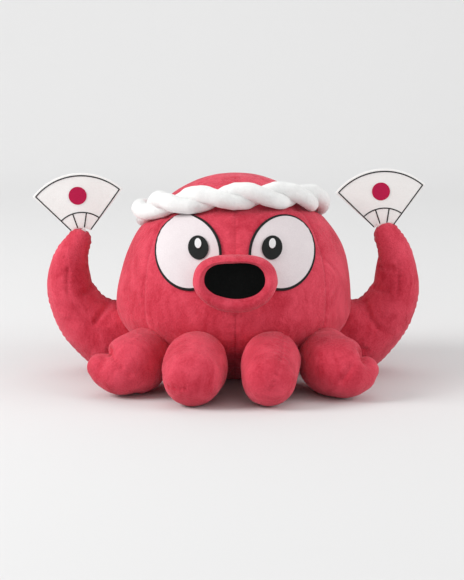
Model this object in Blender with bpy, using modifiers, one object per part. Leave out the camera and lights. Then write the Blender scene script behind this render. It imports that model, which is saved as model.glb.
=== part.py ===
"""A stuffed octopus with a twisted headband, two raised arms that hold felt fans, and six legs.

The object stands on Z = 0, faces -Y, and is centred on X = 0. Sizes are in metres.
An azimuth is measured round the Z axis from the front (-Y), positive towards +X.
"""
import math

import bmesh
import bpy
from mathutils import Matrix, Vector

MILLIMETRE = 0.001
GAP = 0.0003  # between touching pieces

# Head: half an egg above the equator, a fuller belly below it.
HEAD_HALF_WIDTH = 0.1006
HEAD_HALF_DEPTH = 0.0920
EQUATOR_HEIGHT = 0.060
CROWN_RISE = 0.116
CROWN_SCALE = CROWN_RISE / 0.116  # keeps the face and the band at their shares of the crown
BELLY_DROP = 0.064
BELLY_POWER = 1.7
HEAD_STEPS = 20
CROWN_OPENING = 0.0040  # half width of the hole where the four panels meet
CROWN_RINGS = 8
BELLY_RINGS = 5
HEAD_COVER = 0.0020
SIDE_SEAM_AZIMUTH = 57.0
BASE_PANEL_THICKNESS = 0.0020
PELLET_BAG_RADIUS = 0.038
PELLET_BAG_HEIGHT = 0.022
# The bag's half section, as shares of its radius and of its half height.
PELLET_BAG_SHAPE = ((0, 1), (0.70, 1), (0.93, 0.5), (1, 0), (0.80, -0.5), (0.52, -1), (0, -1))

# Snout: a stuffed oval tube with a rolled lip and a dished mouth.
SNOUT_HALF_WIDTH = 0.0340
SNOUT_HALF_HEIGHT = 0.0235
SNOUT_HEIGHT = EQUATOR_HEIGHT + 0.0375 * CROWN_SCALE
SNOUT_FRONT = 0.1150
SNOUT_LENGTH = 0.0420
# How far its half section stands in, and how far behind the lip, as a share of the length.
SNOUT_SHAPE = ((0.0035, 1.0), (0.0005, 0.62), (0.0, 0.34), (0.0022, 0.12), (0.0055, 0.0))
LIP_ROLL = 0.0010
FLANGE_START = 0.0015
FLANGE_END = 0.0075
MOUTH_INSET = 0.0090
MOUTH_RAISE = 0.0030
RAISED_SHARE = 0.3  # of the snout's length, behind the lip
MOUTH_DEPTH = 0.0030
MOUTH_PATCH_INSET = 0.0020
MOUTH_THICKNESS = 0.0012

# Eyes: oval patches that follow the head.
EYE_SPACING = 0.0387
EYE_HEIGHT = EQUATOR_HEIGHT + 0.0568 * CROWN_SCALE
EYE_HALF_WIDTH = 0.0265
EYE_HALF_HEIGHT = 0.0280 * CROWN_SCALE
EYE_OUTLINE = 0.0016
EYE_THICKNESS = 0.0010
PUPIL_SPACING = 0.0295
PUPIL_HEIGHT = EQUATOR_HEIGHT + 0.0610 * CROWN_SCALE
PUPIL_HALF_WIDTH = 0.0082
PUPIL_HALF_HEIGHT = 0.0090
CATCHLIGHT_RADIUS = 0.0028
CATCHLIGHT_STRETCH = 1.3
CATCHLIGHT_LIFT = 0.003
SPOT_THICKNESS = 0.0006

# Headband: two strands twisted round a ring that lies on the head in a tilted plane.
BAND_FRONT_RISE = 0.250
BAND_SIDE_RISE = 0.053
BAND_HEIGHT = EQUATOR_HEIGHT + 0.07875 * CROWN_SCALE
STRAND_RADIUS = 0.0042
STRAND_TWISTS = 5
STRAND_STATIONS = 60
STRAND_SWING = 1.12  # how far each strand runs from the band's middle, in strand radii

# Limbs: the root of each is a ball in a socket of the head, where its hinge is.
LIMB_COVER = 0.0015
SOCKET_CLEARANCE = 0.0012
NECK_ANGLE = 22.0
ROOT_INSET = 0.0030
ROOT_BALL_SHARES = (-0.62, -0.35, 0.0)  # where the root ball has rings, as shares of its radius
TIP_DOME_ANGLES = (35, 62, 82)
ARM_ROOT_RADIUS = 0.0290
ARM_ROOT_AZIMUTH = 97.0
ARM_ROOT_HEIGHT = 0.0290
ARM_REACH = {"left": HEAD_HALF_WIDTH + 0.0424, "right": HEAD_HALF_WIDTH + 0.0384}
FAN_APEX_HEIGHT = {"left": 0.1160, "right": 0.1225}
FAN_APEX_X = {"left": HEAD_HALF_WIDTH + 0.0329, "right": HEAD_HALF_WIDTH + 0.0284}
ARM_TIP_RADIUS = 0.0115
ARM_TIP_Y = 0.004
# The arm's stations: past the root, then past the reach, each with its share of the rise and its radius.
ARM_START = ((0.0150, 0.02, 0.0280), (0.0285, 0.13, 0.0262))
ARM_BEND = (
    (-0.0080, 0.30, 0.0235),
    (-0.0010, 0.50, 0.0200),
    (0.0005, 0.68, 0.0172),
    (-0.0020, 0.85, 0.0146),
)
LEG_ROOT_RADIUS = 0.0242
LEG_RADIUS = 0.0245
LEG_SCALE = LEG_RADIUS / 0.0245  # a thicker leg is longer too
LEG_ROOT_HEIGHT = 0.0300
LEG_DROOP = 1.6  # how late the leg's middle line comes down to the floor
FRONT_LEG_AZIMUTH = 18.0
OUTER_LEG_AZIMUTH = 50.0
REAR_LEG_AZIMUTH = 152.0
LEG_HEADING = {
    "left_front": -14.0,
    "right_front": -2.0,
    "left_outer": -42.0,
    "right_outer": 38.0,
    "left_rear": -152.0,
    "right_rear": 152.0,
}
LEG_LENGTH = {"front": 0.039 * LEG_SCALE, "outer": 0.038 * LEG_SCALE, "rear": 0.038 * LEG_SCALE}
LEG_TIP_RADIUS = {"front": 0.0158 * LEG_SCALE, "outer": 0.0112 * LEG_SCALE, "rear": 0.0158 * LEG_SCALE}
OUTER_LEG_CURL = {"left": 0.0130 * LEG_SCALE, "right": 0.0060 * LEG_SCALE}

# Fans: flat felt sectors with a tab sewn into each arm's tip.
FAN_RADIUS = 0.0555
FAN_HALF_ANGLE = 45.0
FAN_LEAN = 6.0
FAN_THICKNESS = 0.0020
FAN_ROOT_CLEARANCE = 0.0010
FAN_LINE = 0.0012
FAN_MARGIN = 0.0015
FAN_INNER_ARC = 0.0240
FAN_RIBS = 2
FAN_DISC_RADIUS = 0.0075
FAN_DISC_PLACE = 0.0373
FAN_PRINT_THICKNESS = 0.0006
TAB_WIDTH = 0.0120
TAB_DEPTH = 0.0085

RED = (0.62, 0.055, 0.075)
WHITE = (0.83, 0.82, 0.80)
BLACK = (0.010, 0.012, 0.012)
CRIMSON = (0.45, 0.008, 0.06)
FIBRE = (0.88, 0.88, 0.86)
PELLET = (0.70, 0.70, 0.68)


def clear_scene():
    for obj in list(bpy.data.objects):
        bpy.data.objects.remove(obj, do_unlink=True)


def collection(name):
    made = bpy.data.collections.new(name)
    bpy.context.scene.collection.children.link(made)
    return made


def material(name, colour, roughness):
    made = bpy.data.materials.new(name)
    made.use_nodes = True
    shader = made.node_tree.nodes["Principled BSDF"]
    shader.inputs["Base Color"].default_value = (*colour, 1.0)
    shader.inputs["Roughness"].default_value = roughness
    shader.inputs["Metallic"].default_value = 0.0
    return made


def add_object(name, mesh, group, look=None):
    obj = bpy.data.objects.new(name, mesh)
    group.objects.link(obj)
    if look:
        obj.data.materials.append(look)
    return obj


def add_mesh(name, bm, group, look=None):
    bmesh.ops.recalc_face_normals(bm, faces=bm.faces)
    mesh = bpy.data.meshes.new(name)
    bm.to_mesh(mesh)
    bm.free()
    mesh.shade_smooth()
    mesh.set_sharp_from_angle(angle=math.radians(45))
    return add_object(name, mesh, group, look)


def as_cutter(obj):
    obj.hide_render = True
    obj.display_type = "WIRE"
    return obj


def thicken(obj, thickness, outward=False):
    shell = obj.modifiers.new("Thickness", "SOLIDIFY")
    shell.thickness = thickness
    shell.offset = 1.0 if outward else -1.0


def boolean(obj, cutter, operation="DIFFERENCE"):
    cut = obj.modifiers.new(cutter.name, "BOOLEAN")
    cut.operation = operation
    cut.solver = "EXACT"
    cut.object = cutter


def move_along_normals(bm, distance):
    bm.normal_update()
    shifts = [(vert, vert.normal * distance) for vert in bm.verts]
    for vert, shift in shifts:
        vert.co += shift


def toward(azimuth):
    angle = math.radians(azimuth)
    return Vector((math.sin(angle), -math.cos(angle), 0))


def side_of(side):
    return -1 if side == "left" else 1


# ---------------------------------------------------------------- head

def head_share(z):
    """The head's half width at height z, as a share of its greatest."""
    if z >= EQUATOR_HEIGHT:
        rise = min((z - EQUATOR_HEIGHT) / CROWN_RISE, 1.0)
        return math.sqrt(1 - rise * rise)
    drop = (EQUATOR_HEIGHT - z) / BELLY_DROP
    return (1 - drop ** BELLY_POWER) ** (1 / BELLY_POWER)


def head_profile():
    """Points (half width, height) from the crown down to the base."""
    top = math.acos(CROWN_OPENING / HEAD_HALF_WIDTH)
    crown = [top * (1 - step / CROWN_RINGS) for step in range(CROWN_RINGS)]
    points = [(HEAD_HALF_WIDTH * math.cos(a), EQUATOR_HEIGHT + CROWN_RISE * math.sin(a)) for a in crown]
    for step in range(BELLY_RINGS + 1):
        z = EQUATOR_HEIGHT * math.cos(math.pi / 2 * step / BELLY_RINGS)
        points.append((HEAD_HALF_WIDTH * head_share(z), z))
    return points


def turned(profile, steps, axis="Z"):
    """The profile of (radius, height) points, spun once round the axis, with its ends left open."""
    bm = bmesh.new()
    verts = [bm.verts.new((radius, 0, height)) for radius, height in profile]
    edges = [bm.edges.new(pair) for pair in zip(verts, verts[1:])]
    bmesh.ops.spin(bm, geom=verts + edges, cent=(0, 0, 0), axis=(0, 0, 1), angle=math.tau, steps=steps)
    bmesh.ops.remove_doubles(bm, verts=bm.verts, dist=1e-6)
    if axis == "-Y":
        bmesh.ops.rotate(bm, verts=bm.verts, matrix=Matrix.Rotation(math.radians(90), 3, "X"))
    bmesh.ops.recalc_face_normals(bm, faces=bm.faces)
    return bm


def close_holes(bm):
    rims = [edge for edge in bm.edges if edge.is_boundary]
    if rims:
        bmesh.ops.holes_fill(bm, edges=rims, sides=0)


def head_surface(offset=0.0, closed=False):
    bm = turned(head_profile(), HEAD_STEPS)
    bmesh.ops.scale(bm, vec=(1, HEAD_HALF_DEPTH / HEAD_HALF_WIDTH, 1), verts=bm.verts)
    if closed:
        close_holes(bm)
    bmesh.ops.recalc_face_normals(bm, faces=bm.faces)
    move_along_normals(bm, offset)
    return bm


def head_shell(cutters):
    """The head's whole cover, before it is cut into panels."""
    shell = add_mesh("head_shell", head_surface(), cutters)
    thicken(shell, HEAD_COVER)
    graph = bpy.context.evaluated_depsgraph_get()
    mesh = bpy.data.meshes.new_from_object(shell.evaluated_get(graph))
    bpy.data.objects.remove(shell, do_unlink=True)
    return mesh


def seam_plane(bm, azimuth, keep):
    """Cuts the cover half a gap from the seam at this azimuth, and keeps the side towards keep."""
    across = Matrix.Rotation(math.radians(90), 3, "Z") @ toward(azimuth) * keep
    bmesh.ops.bisect_plane(
        bm,
        geom=bm.verts[:] + bm.edges[:] + bm.faces[:],
        dist=1e-7,
        plane_co=across * GAP / 2,
        plane_no=-across,
        clear_outer=True,
    )
    close_holes(bm)


def build_head(group, looks, cutters, sockets):
    spans = {
        "head_panel_front_left": (-SIDE_SEAM_AZIMUTH, 0),
        "head_panel_front_right": (0, SIDE_SEAM_AZIMUTH),
        "head_panel_back_left": (180, 360 - SIDE_SEAM_AZIMUTH),
        "head_panel_back_right": (SIDE_SEAM_AZIMUTH, 180),
    }
    cover = head_shell(cutters)
    for name, (start, end) in spans.items():
        bm = bmesh.new()
        bm.from_mesh(cover)
        seam_plane(bm, start, 1)
        seam_plane(bm, end, -1)
        panel = add_mesh(name, bm, group, looks["red"])
        for socket in sockets.objects:
            boolean(panel, socket)
    bpy.data.meshes.remove(cover)


def build_base(group, looks, cutters, sockets):
    """The flat base panel, the bag of pellets that weighs it down, and the filling round them."""
    base_half_width = HEAD_HALF_WIDTH * head_share(0) - HEAD_COVER - 2 * GAP
    bm = bmesh.new()
    bmesh.ops.create_cone(
        bm,
        cap_ends=True,
        segments=HEAD_STEPS,
        radius1=base_half_width,
        radius2=base_half_width,
        depth=BASE_PANEL_THICKNESS,
    )
    bmesh.ops.scale(bm, vec=(1, HEAD_HALF_DEPTH / HEAD_HALF_WIDTH, 1), verts=bm.verts)
    bmesh.ops.translate(bm, vec=(0, 0, BASE_PANEL_THICKNESS / 2), verts=bm.verts)
    add_mesh("base_panel", bm, group, looks["red"])

    floor = BASE_PANEL_THICKNESS + 2 * GAP
    middle = (0, 0, floor + PELLET_BAG_HEIGHT / 2)
    add_mesh("pellet_bag", pellet_form(PELLET_BAG_HEIGHT / 2, middle), group, looks["pellet"])
    pocket = add_mesh("pellet_pocket", pellet_form(PELLET_BAG_HEIGHT / 2 + 2 * GAP, middle), cutters)
    as_cutter(pocket)

    filling = add_mesh("head_filling", head_surface(-(HEAD_COVER + 2 * GAP), closed=True), group, looks["fibre"])
    size = (HEAD_HALF_WIDTH, HEAD_HALF_WIDTH, floor)
    below = as_cutter(add_box("filling_floor", size, (0, 0, floor / 2 - GAP), cutters))
    for socket in sockets.objects:
        boolean(filling, socket)
    boolean(filling, pocket)
    boolean(filling, below)


def pellet_form(half_height, middle):
    """A flat cushion of pellets: a drum with a rounded rim."""
    grown = half_height - PELLET_BAG_HEIGHT / 2
    radius = PELLET_BAG_RADIUS + grown
    bm = turned([(radius * out, half_height * up) for out, up in PELLET_BAG_SHAPE], 16)
    bmesh.ops.translate(bm, vec=middle, verts=bm.verts)
    return bm


def add_box(name, size, middle, group, look=None, turn=None):
    bm = bmesh.new()
    bmesh.ops.create_cube(bm, size=1.0)
    bmesh.ops.scale(bm, vec=size, verts=bm.verts)
    if turn:
        bmesh.ops.rotate(bm, verts=bm.verts, matrix=turn)
    bmesh.ops.translate(bm, vec=middle, verts=bm.verts)
    return add_mesh(name, bm, group, look)


# ---------------------------------------------------------------- face

def oval_bar(name, half_width, half_height, middle_x, middle_z, group):
    """A long bar of oval section along Y, from inside the head out past its front."""
    length = HEAD_HALF_DEPTH
    bm = bmesh.new()
    bmesh.ops.create_cone(bm, cap_ends=True, segments=20, radius1=1, radius2=1, depth=length)
    bmesh.ops.rotate(bm, verts=bm.verts, matrix=Matrix.Rotation(math.radians(90), 3, "X"))
    bmesh.ops.scale(bm, vec=(half_width, 1, half_height), verts=bm.verts)
    bmesh.ops.translate(bm, vec=(middle_x, -HEAD_HALF_DEPTH / 4 - length / 2, middle_z), verts=bm.verts)
    return as_cutter(add_mesh(name, bm, group))


def head_patch(name, lift, thickness, group, look):
    """A layer of cloth on the head, lifted off it, before it is cut to its outline."""
    patch = add_mesh(name, head_surface(lift), group, look)
    thicken(patch, thickness, outward=True)
    return patch


def build_eye(side, group, looks, cutters, snout):
    sign = side_of(side)
    glint_height = CATCHLIGHT_RADIUS * CATCHLIGHT_STRETCH
    ovals = {}
    for part, width, height, x, z in (
        ("outer", EYE_HALF_WIDTH + EYE_OUTLINE, EYE_HALF_HEIGHT + EYE_OUTLINE, EYE_SPACING, EYE_HEIGHT),
        ("hole", EYE_HALF_WIDTH + GAP, EYE_HALF_HEIGHT + GAP, EYE_SPACING, EYE_HEIGHT),
        ("white", EYE_HALF_WIDTH, EYE_HALF_HEIGHT, EYE_SPACING, EYE_HEIGHT),
        ("pupil", PUPIL_HALF_WIDTH, PUPIL_HALF_HEIGHT, PUPIL_SPACING, PUPIL_HEIGHT),
        ("glint", CATCHLIGHT_RADIUS, glint_height, PUPIL_SPACING, PUPIL_HEIGHT + CATCHLIGHT_LIFT),
    ):
        ovals[part] = oval_bar(f"{side}_eye_{part}_bar", width, height, sign * x, z, cutters)

    outline = head_patch(f"{side}_eye_outline", GAP, EYE_THICKNESS, group, looks["black"])
    boolean(outline, ovals["outer"], "INTERSECT")
    boolean(outline, ovals["hole"])
    boolean(outline, snout)
    white = head_patch(f"{side}_eye_white", GAP, EYE_THICKNESS, group, looks["white"])
    boolean(white, ovals["white"], "INTERSECT")
    boolean(white, snout)
    on_white = GAP + EYE_THICKNESS + GAP
    pupil = head_patch(f"{side}_eye_pupil", on_white, SPOT_THICKNESS, group, looks["black"])
    boolean(pupil, ovals["pupil"], "INTERSECT")
    boolean(pupil, snout)
    on_pupil = on_white + SPOT_THICKNESS + GAP
    glint = head_patch(f"{side}_eye_catchlight", on_pupil, SPOT_THICKNESS, group, looks["white"])
    boolean(glint, ovals["glint"], "INTERSECT")
    boolean(glint, snout)


def mouth_raise(behind_lip):
    """How far the snout's section is raised at this distance behind its lip."""
    share = 1 - behind_lip / (RAISED_SHARE * SNOUT_LENGTH)
    return MOUTH_RAISE * min(max(share, 0.0), 1.0)


def snout_surface(grown=0.0):
    """The snout's outer skin, from its root inside the head to the flange round the mouth."""
    lip = SNOUT_FRONT
    outline = [(inset, lip - behind * SNOUT_LENGTH) for inset, behind in SNOUT_SHAPE]
    outline.append((MOUTH_INSET, lip - LIP_ROLL))
    outline.append((MOUTH_INSET + FLANGE_START, lip - MOUTH_DEPTH))
    outline.append((MOUTH_INSET + FLANGE_END, lip - MOUTH_DEPTH))
    bm = turned([(SNOUT_HALF_HEIGHT - inset, y) for inset, y in outline], 16, axis="-Y")
    wider = SNOUT_HALF_WIDTH - SNOUT_HALF_HEIGHT
    for vert in bm.verts:
        radius = math.hypot(vert.co.x, vert.co.z)
        vert.co.x *= (radius + wider) / radius
        vert.co.z += SNOUT_HEIGHT + mouth_raise(lip + vert.co.y)
    if grown:
        close_holes(bm)
        bmesh.ops.recalc_face_normals(bm, faces=bm.faces)
        move_along_normals(bm, grown)
    return bm


def build_snout(group, looks, cutters, head_solid):
    cover = add_mesh("snout_cover", snout_surface(), group, looks["red"])
    thicken(cover, LIMB_COVER)
    boolean(cover, head_solid)
    filling = add_mesh("snout_filling", snout_surface(-(LIMB_COVER + 2 * GAP)), group, looks["fibre"])
    boolean(filling, head_solid)

    half_width = SNOUT_HALF_WIDTH - MOUTH_INSET - MOUTH_PATCH_INSET
    half_height = SNOUT_HALF_HEIGHT - MOUTH_INSET - MOUTH_PATCH_INSET
    bm = bmesh.new()
    bmesh.ops.create_cone(bm, cap_ends=True, segments=24, radius1=1, radius2=1, depth=MOUTH_THICKNESS)
    bmesh.ops.rotate(bm, verts=bm.verts, matrix=Matrix.Rotation(math.radians(90), 3, "X"))
    bmesh.ops.scale(bm, vec=(half_width, 1, half_height), verts=bm.verts)
    front = SNOUT_FRONT - MOUTH_DEPTH + GAP + MOUTH_THICKNESS / 2
    height = SNOUT_HEIGHT + mouth_raise(SNOUT_FRONT - front)
    bmesh.ops.translate(bm, vec=(0, -front, height), verts=bm.verts)
    add_mesh("mouth_patch", bm, group, looks["black"])


# ---------------------------------------------------------------- headband

def band_frame(turn):
    """(centre, outward, along) of the twisted band, at this share of the way round from the front."""
    def on_head(share):
        around = math.tau * share
        z = BAND_HEIGHT
        for _ in range(30):
            width = head_share(z)
            x = HEAD_HALF_WIDTH * width * math.sin(around)
            y = -HEAD_HALF_DEPTH * width * math.cos(around)
            z = BAND_HEIGHT - BAND_FRONT_RISE * y + BAND_SIDE_RISE * x
        return Vector((x, y, z))

    place = on_head(turn)
    along = (on_head(turn + 0.002) - on_head(turn - 0.002)).normalized()
    outward = Vector((
        place.x / HEAD_HALF_WIDTH ** 2,
        place.y / HEAD_HALF_DEPTH ** 2,
        (place.z - EQUATOR_HEIGHT) / CROWN_RISE ** 2,
    )).normalized()
    band_radius = (1 + STRAND_SWING) * STRAND_RADIUS + GAP
    return place + outward * (band_radius + 2 * GAP), outward, along


def build_headband(group, look):
    swing = STRAND_SWING * STRAND_RADIUS + GAP
    for index, name in enumerate(("headband_strand_a", "headband_strand_b")):
        stations = []
        for step in range(STRAND_STATIONS):
            turn = step / STRAND_STATIONS
            centre, outward, along = band_frame(turn)
            angle = math.tau * STRAND_TWISTS * turn + math.pi * index
            aside = along.cross(outward)
            around = math.cos(angle) * outward + math.sin(angle) * aside
            stations.append((centre + swing * around, STRAND_RADIUS))
        mesh = tube(name, stations, sides_level=1, ring=True)
        add_object(name, mesh, group, look)


# ---------------------------------------------------------------- tubes and limbs

def tube(name, stations, sides_level, ring=False):
    """The mesh of a round tube through stations of (point, radius), with its ends capped."""
    curve = bpy.data.curves.new(name, "CURVE")
    curve.dimensions = "3D"
    curve.bevel_depth = 1.0
    curve.bevel_resolution = sides_level
    curve.use_fill_caps = not ring
    spline = curve.splines.new("POLY")
    spline.points.add(len(stations) - 1)
    spline.use_cyclic_u = ring
    for point, (place, radius) in zip(spline.points, stations):
        point.co = (*place, 1)
        point.radius = radius
    guide = bpy.data.objects.new(name + "_guide", curve)
    bpy.context.scene.collection.objects.link(guide)
    graph = bpy.context.evaluated_depsgraph_get()
    mesh = bpy.data.meshes.new_from_object(guide.evaluated_get(graph))
    bpy.data.objects.remove(guide, do_unlink=True)
    bpy.data.curves.remove(curve)
    bm = bmesh.new()
    bm.from_mesh(mesh)
    bmesh.ops.remove_doubles(bm, verts=bm.verts, dist=1e-6)
    bmesh.ops.recalc_face_normals(bm, faces=bm.faces)
    bm.to_mesh(mesh)
    bm.free()
    mesh.shade_smooth()
    return mesh


def between(points, share):
    """A point of the smooth curve through the points, at this share of their count."""
    reach = share * (len(points) - 1)
    start = min(int(reach), len(points) - 2)
    t = reach - start
    a, b, c, d = (points[min(max(start + step, 0), len(points) - 1)] for step in (-1, 0, 1, 2))
    pull = (-a + 3 * b - 3 * c + d) * t ** 3 + (2 * a - 5 * b + 4 * c - d) * t ** 2
    return b + 0.5 * (pull + (c - a) * t)


def limb_stations(root, path, root_radius, rings):
    """The ball at the root, the path's rings, and a domed tip whose centre is the path's end."""
    outward = (path[0].xyz - root).normalized()
    stations = []
    for share in (*ROOT_BALL_SHARES, math.sin(math.radians(NECK_ANGLE))):
        radius = root_radius * math.sqrt(1 - share * share)
        stations.append((root + outward * root_radius * share, radius))
    for ring in range(rings):
        place = between(path, ring / (rings - 1))
        stations.append((place.xyz, place.w))
    end, tip_radius = path[-1].xyz, path[-1].w
    onward = (end - stations[-2][0]).normalized()
    for angle in TIP_DOME_ANGLES:
        dome = math.radians(angle)
        stations.append((end + onward * tip_radius * math.sin(dome), tip_radius * math.cos(dome)))
    return stations


def build_limb(name, root, path, root_radius, rings, sides_level, group, looks, cutters):
    """A stuffed limb: its cover, open at the root, and its filling. Their parent is on the hinge."""
    hinge = bpy.data.objects.new(name + "_hinge", None)
    hinge.location = root
    group.objects.link(hinge)
    bpy.context.view_layer.update()
    mesh = tube(name, limb_stations(root, path, root_radius, rings), sides_level)

    skin = bmesh.new()
    skin.from_mesh(mesh)
    inner = skin.copy()
    outward = (path[0].xyz - root).normalized()
    behind = [face for face in skin.faces if face.normal.dot(outward) < -0.999]
    bmesh.ops.delete(skin, geom=behind, context="FACES")
    cover = bpy.data.meshes.new(name + "_cover")
    skin.to_mesh(cover)
    skin.free()
    cover.shade_smooth()
    cover_object = add_object(name + "_cover", cover, group, looks["red"])
    thicken(cover_object, LIMB_COVER)

    move_along_normals(inner, -(LIMB_COVER + 2 * GAP))
    filling = add_mesh(name + "_filling", inner, group, looks["fibre"])
    bpy.data.meshes.remove(mesh)
    for obj in (cover_object, filling):
        obj.parent = hinge
        obj.matrix_parent_inverse = hinge.matrix_world.inverted()
    add_socket(name, root, root_radius, cutters)
    return cover_object, filling, hinge


def add_socket(name, root, root_radius, cutters):
    bm = bmesh.new()
    bmesh.ops.create_uvsphere(bm, u_segments=16, v_segments=8, radius=root_radius + SOCKET_CLEARANCE)
    bmesh.ops.translate(bm, vec=root, verts=bm.verts)
    as_cutter(add_mesh(name + "_socket", bm, cutters))


def root_place(azimuth, height):
    """Where a limb's root ball sits: just inside the outline of the head's equator."""
    out = toward(azimuth)
    return Vector((
        out.x * (HEAD_HALF_WIDTH - ROOT_INSET),
        out.y * (HEAD_HALF_DEPTH - ROOT_INSET),
        height,
    ))


def leg_path(root, side, kind):
    """The leg's centre line as (x, y, z, radius), from its root down to the floor and out to its tip."""
    heading = toward(LEG_HEADING[f"{side}_{kind}"])
    aside = Matrix.Rotation(math.radians(90 * side_of(side)), 3, "Z") @ heading
    curl = OUTER_LEG_CURL[side] if kind == "outer" else 0.0
    tip = LEG_TIP_RADIUS[kind] / LEG_RADIUS
    tip_height = LEG_TIP_RADIUS[kind] + 4 * GAP
    shape = (
        (0.34, 0.00, 1.0),
        (0.62, 0.10, 0.98),
        (0.84, 0.38, 0.5 + 0.5 * tip),
        (1.00, 1.00, tip),
    )
    path = []
    for along, bend, width in shape:
        radius = LEG_RADIUS * width
        place = root + heading * LEG_LENGTH[kind] * along + aside * curl * bend
        height = LEG_ROOT_HEIGHT + (tip_height - LEG_ROOT_HEIGHT) * along ** LEG_DROOP
        place.z = max(height, radius + GAP) + curl * bend ** 2
        path.append(Vector((*place, radius)))
    return path


def arm_path(root, side):
    """The arm's centre line as (x, y, z, radius), along the floor and then up to its tip."""
    sign = side_of(side)
    reach = ARM_REACH[side]
    apex_x, apex_z = FAN_APEX_X[side], FAN_APEX_HEIGHT[side]
    rise = apex_z - ARM_ROOT_HEIGHT
    start_x, start_y = abs(root.x), root.y
    shape = [(start_x + past, up, radius) for past, up, radius in ARM_START]
    shape += [(reach + past, up, radius) for past, up, radius in ARM_BEND]
    shape.append((apex_x, 1.0, ARM_TIP_RADIUS))
    path = []
    for x, up, radius in shape:
        y = start_y + (ARM_TIP_Y - start_y) * up
        path.append(Vector((sign * x, y, ARM_ROOT_HEIGHT + rise * up, radius)))
    return path


def build_arm(side, group, looks, cutters):
    root = root_place(side_of(side) * ARM_ROOT_AZIMUTH, ARM_ROOT_HEIGHT)
    cover, filling, hinge = build_limb(
        f"{side}_arm", root, arm_path(root, side), ARM_ROOT_RADIUS, 10, 4, group, looks, cutters
    )
    turn = fan_turn()
    apex = fan_apex(side)
    panel_foot = math.sqrt(fan_root_radius() ** 2 - (TAB_WIDTH / 2) ** 2)
    tab_middle = apex + turn @ Vector((0, 0, panel_foot - FAN_ROOT_CLEARANCE - TAB_DEPTH / 2))
    size = Vector((TAB_WIDTH, FAN_THICKNESS, TAB_DEPTH))
    tab = add_box(f"{side}_fan_tab", size, tab_middle, group, looks["white"], turn)
    tab.parent = hinge
    tab.matrix_parent_inverse = hinge.matrix_world.inverted()
    slot_size = size + Vector((4 * GAP, 4 * GAP, TAB_DEPTH + 2 * GAP))
    slot_middle = tab_middle + turn @ Vector((0, 0, TAB_DEPTH / 2))
    slot = as_cutter(add_box(f"{side}_fan_slot", slot_size, slot_middle, cutters, None, turn))
    boolean(cover, slot)
    boolean(filling, slot)


def build_legs(group, looks, cutters):
    for kind, azimuth in (
        ("front", FRONT_LEG_AZIMUTH),
        ("outer", OUTER_LEG_AZIMUTH),
        ("rear", REAR_LEG_AZIMUTH),
    ):
        for side in ("left", "right"):
            sign = side_of(side)
            root = root_place(sign * azimuth, LEG_ROOT_HEIGHT)
            path = leg_path(root, side, kind)
            build_limb(f"{side}_{kind}_leg", root, path, LEG_ROOT_RADIUS, 4, 3, group, looks, cutters)


# ---------------------------------------------------------------- fans

def fan_turn():
    return Matrix.Rotation(math.radians(-FAN_LEAN), 3, "Y")


def fan_apex(side):
    return Vector((side_of(side) * FAN_APEX_X[side], ARM_TIP_Y, FAN_APEX_HEIGHT[side]))


def fan_root_radius():
    return ARM_TIP_RADIUS + FAN_ROOT_CLEARANCE


def arc(radius, start, end, steps):
    """Points on an arc about the fan's apex, with angles from the fan's centre line."""
    angles = [start + (end - start) * step / steps for step in range(steps + 1)]
    return [(radius * math.sin(math.radians(a)), radius * math.cos(math.radians(a))) for a in angles]


def sector(inner, outer, start, end, steps):
    return arc(outer, start, end, steps) + arc(inner, end, start, max(2, steps // 2))


def flat_outline(name, loops, thickness, group, look):
    """A flat piece with these loops for its outline and holes, drawn in millimetres to keep them exact."""
    curve = bpy.data.curves.new(name, "CURVE")
    curve.dimensions = "2D"
    curve.fill_mode = "BOTH"
    curve.extrude = thickness / 2 / MILLIMETRE
    for loop in loops:
        spline = curve.splines.new("POLY")
        spline.points.add(len(loop) - 1)
        spline.use_cyclic_u = True
        for point, (x, y) in zip(spline.points, loop):
            point.co = (x / MILLIMETRE, y / MILLIMETRE, 0, 1)
    return add_object(name, curve, group, look)


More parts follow.
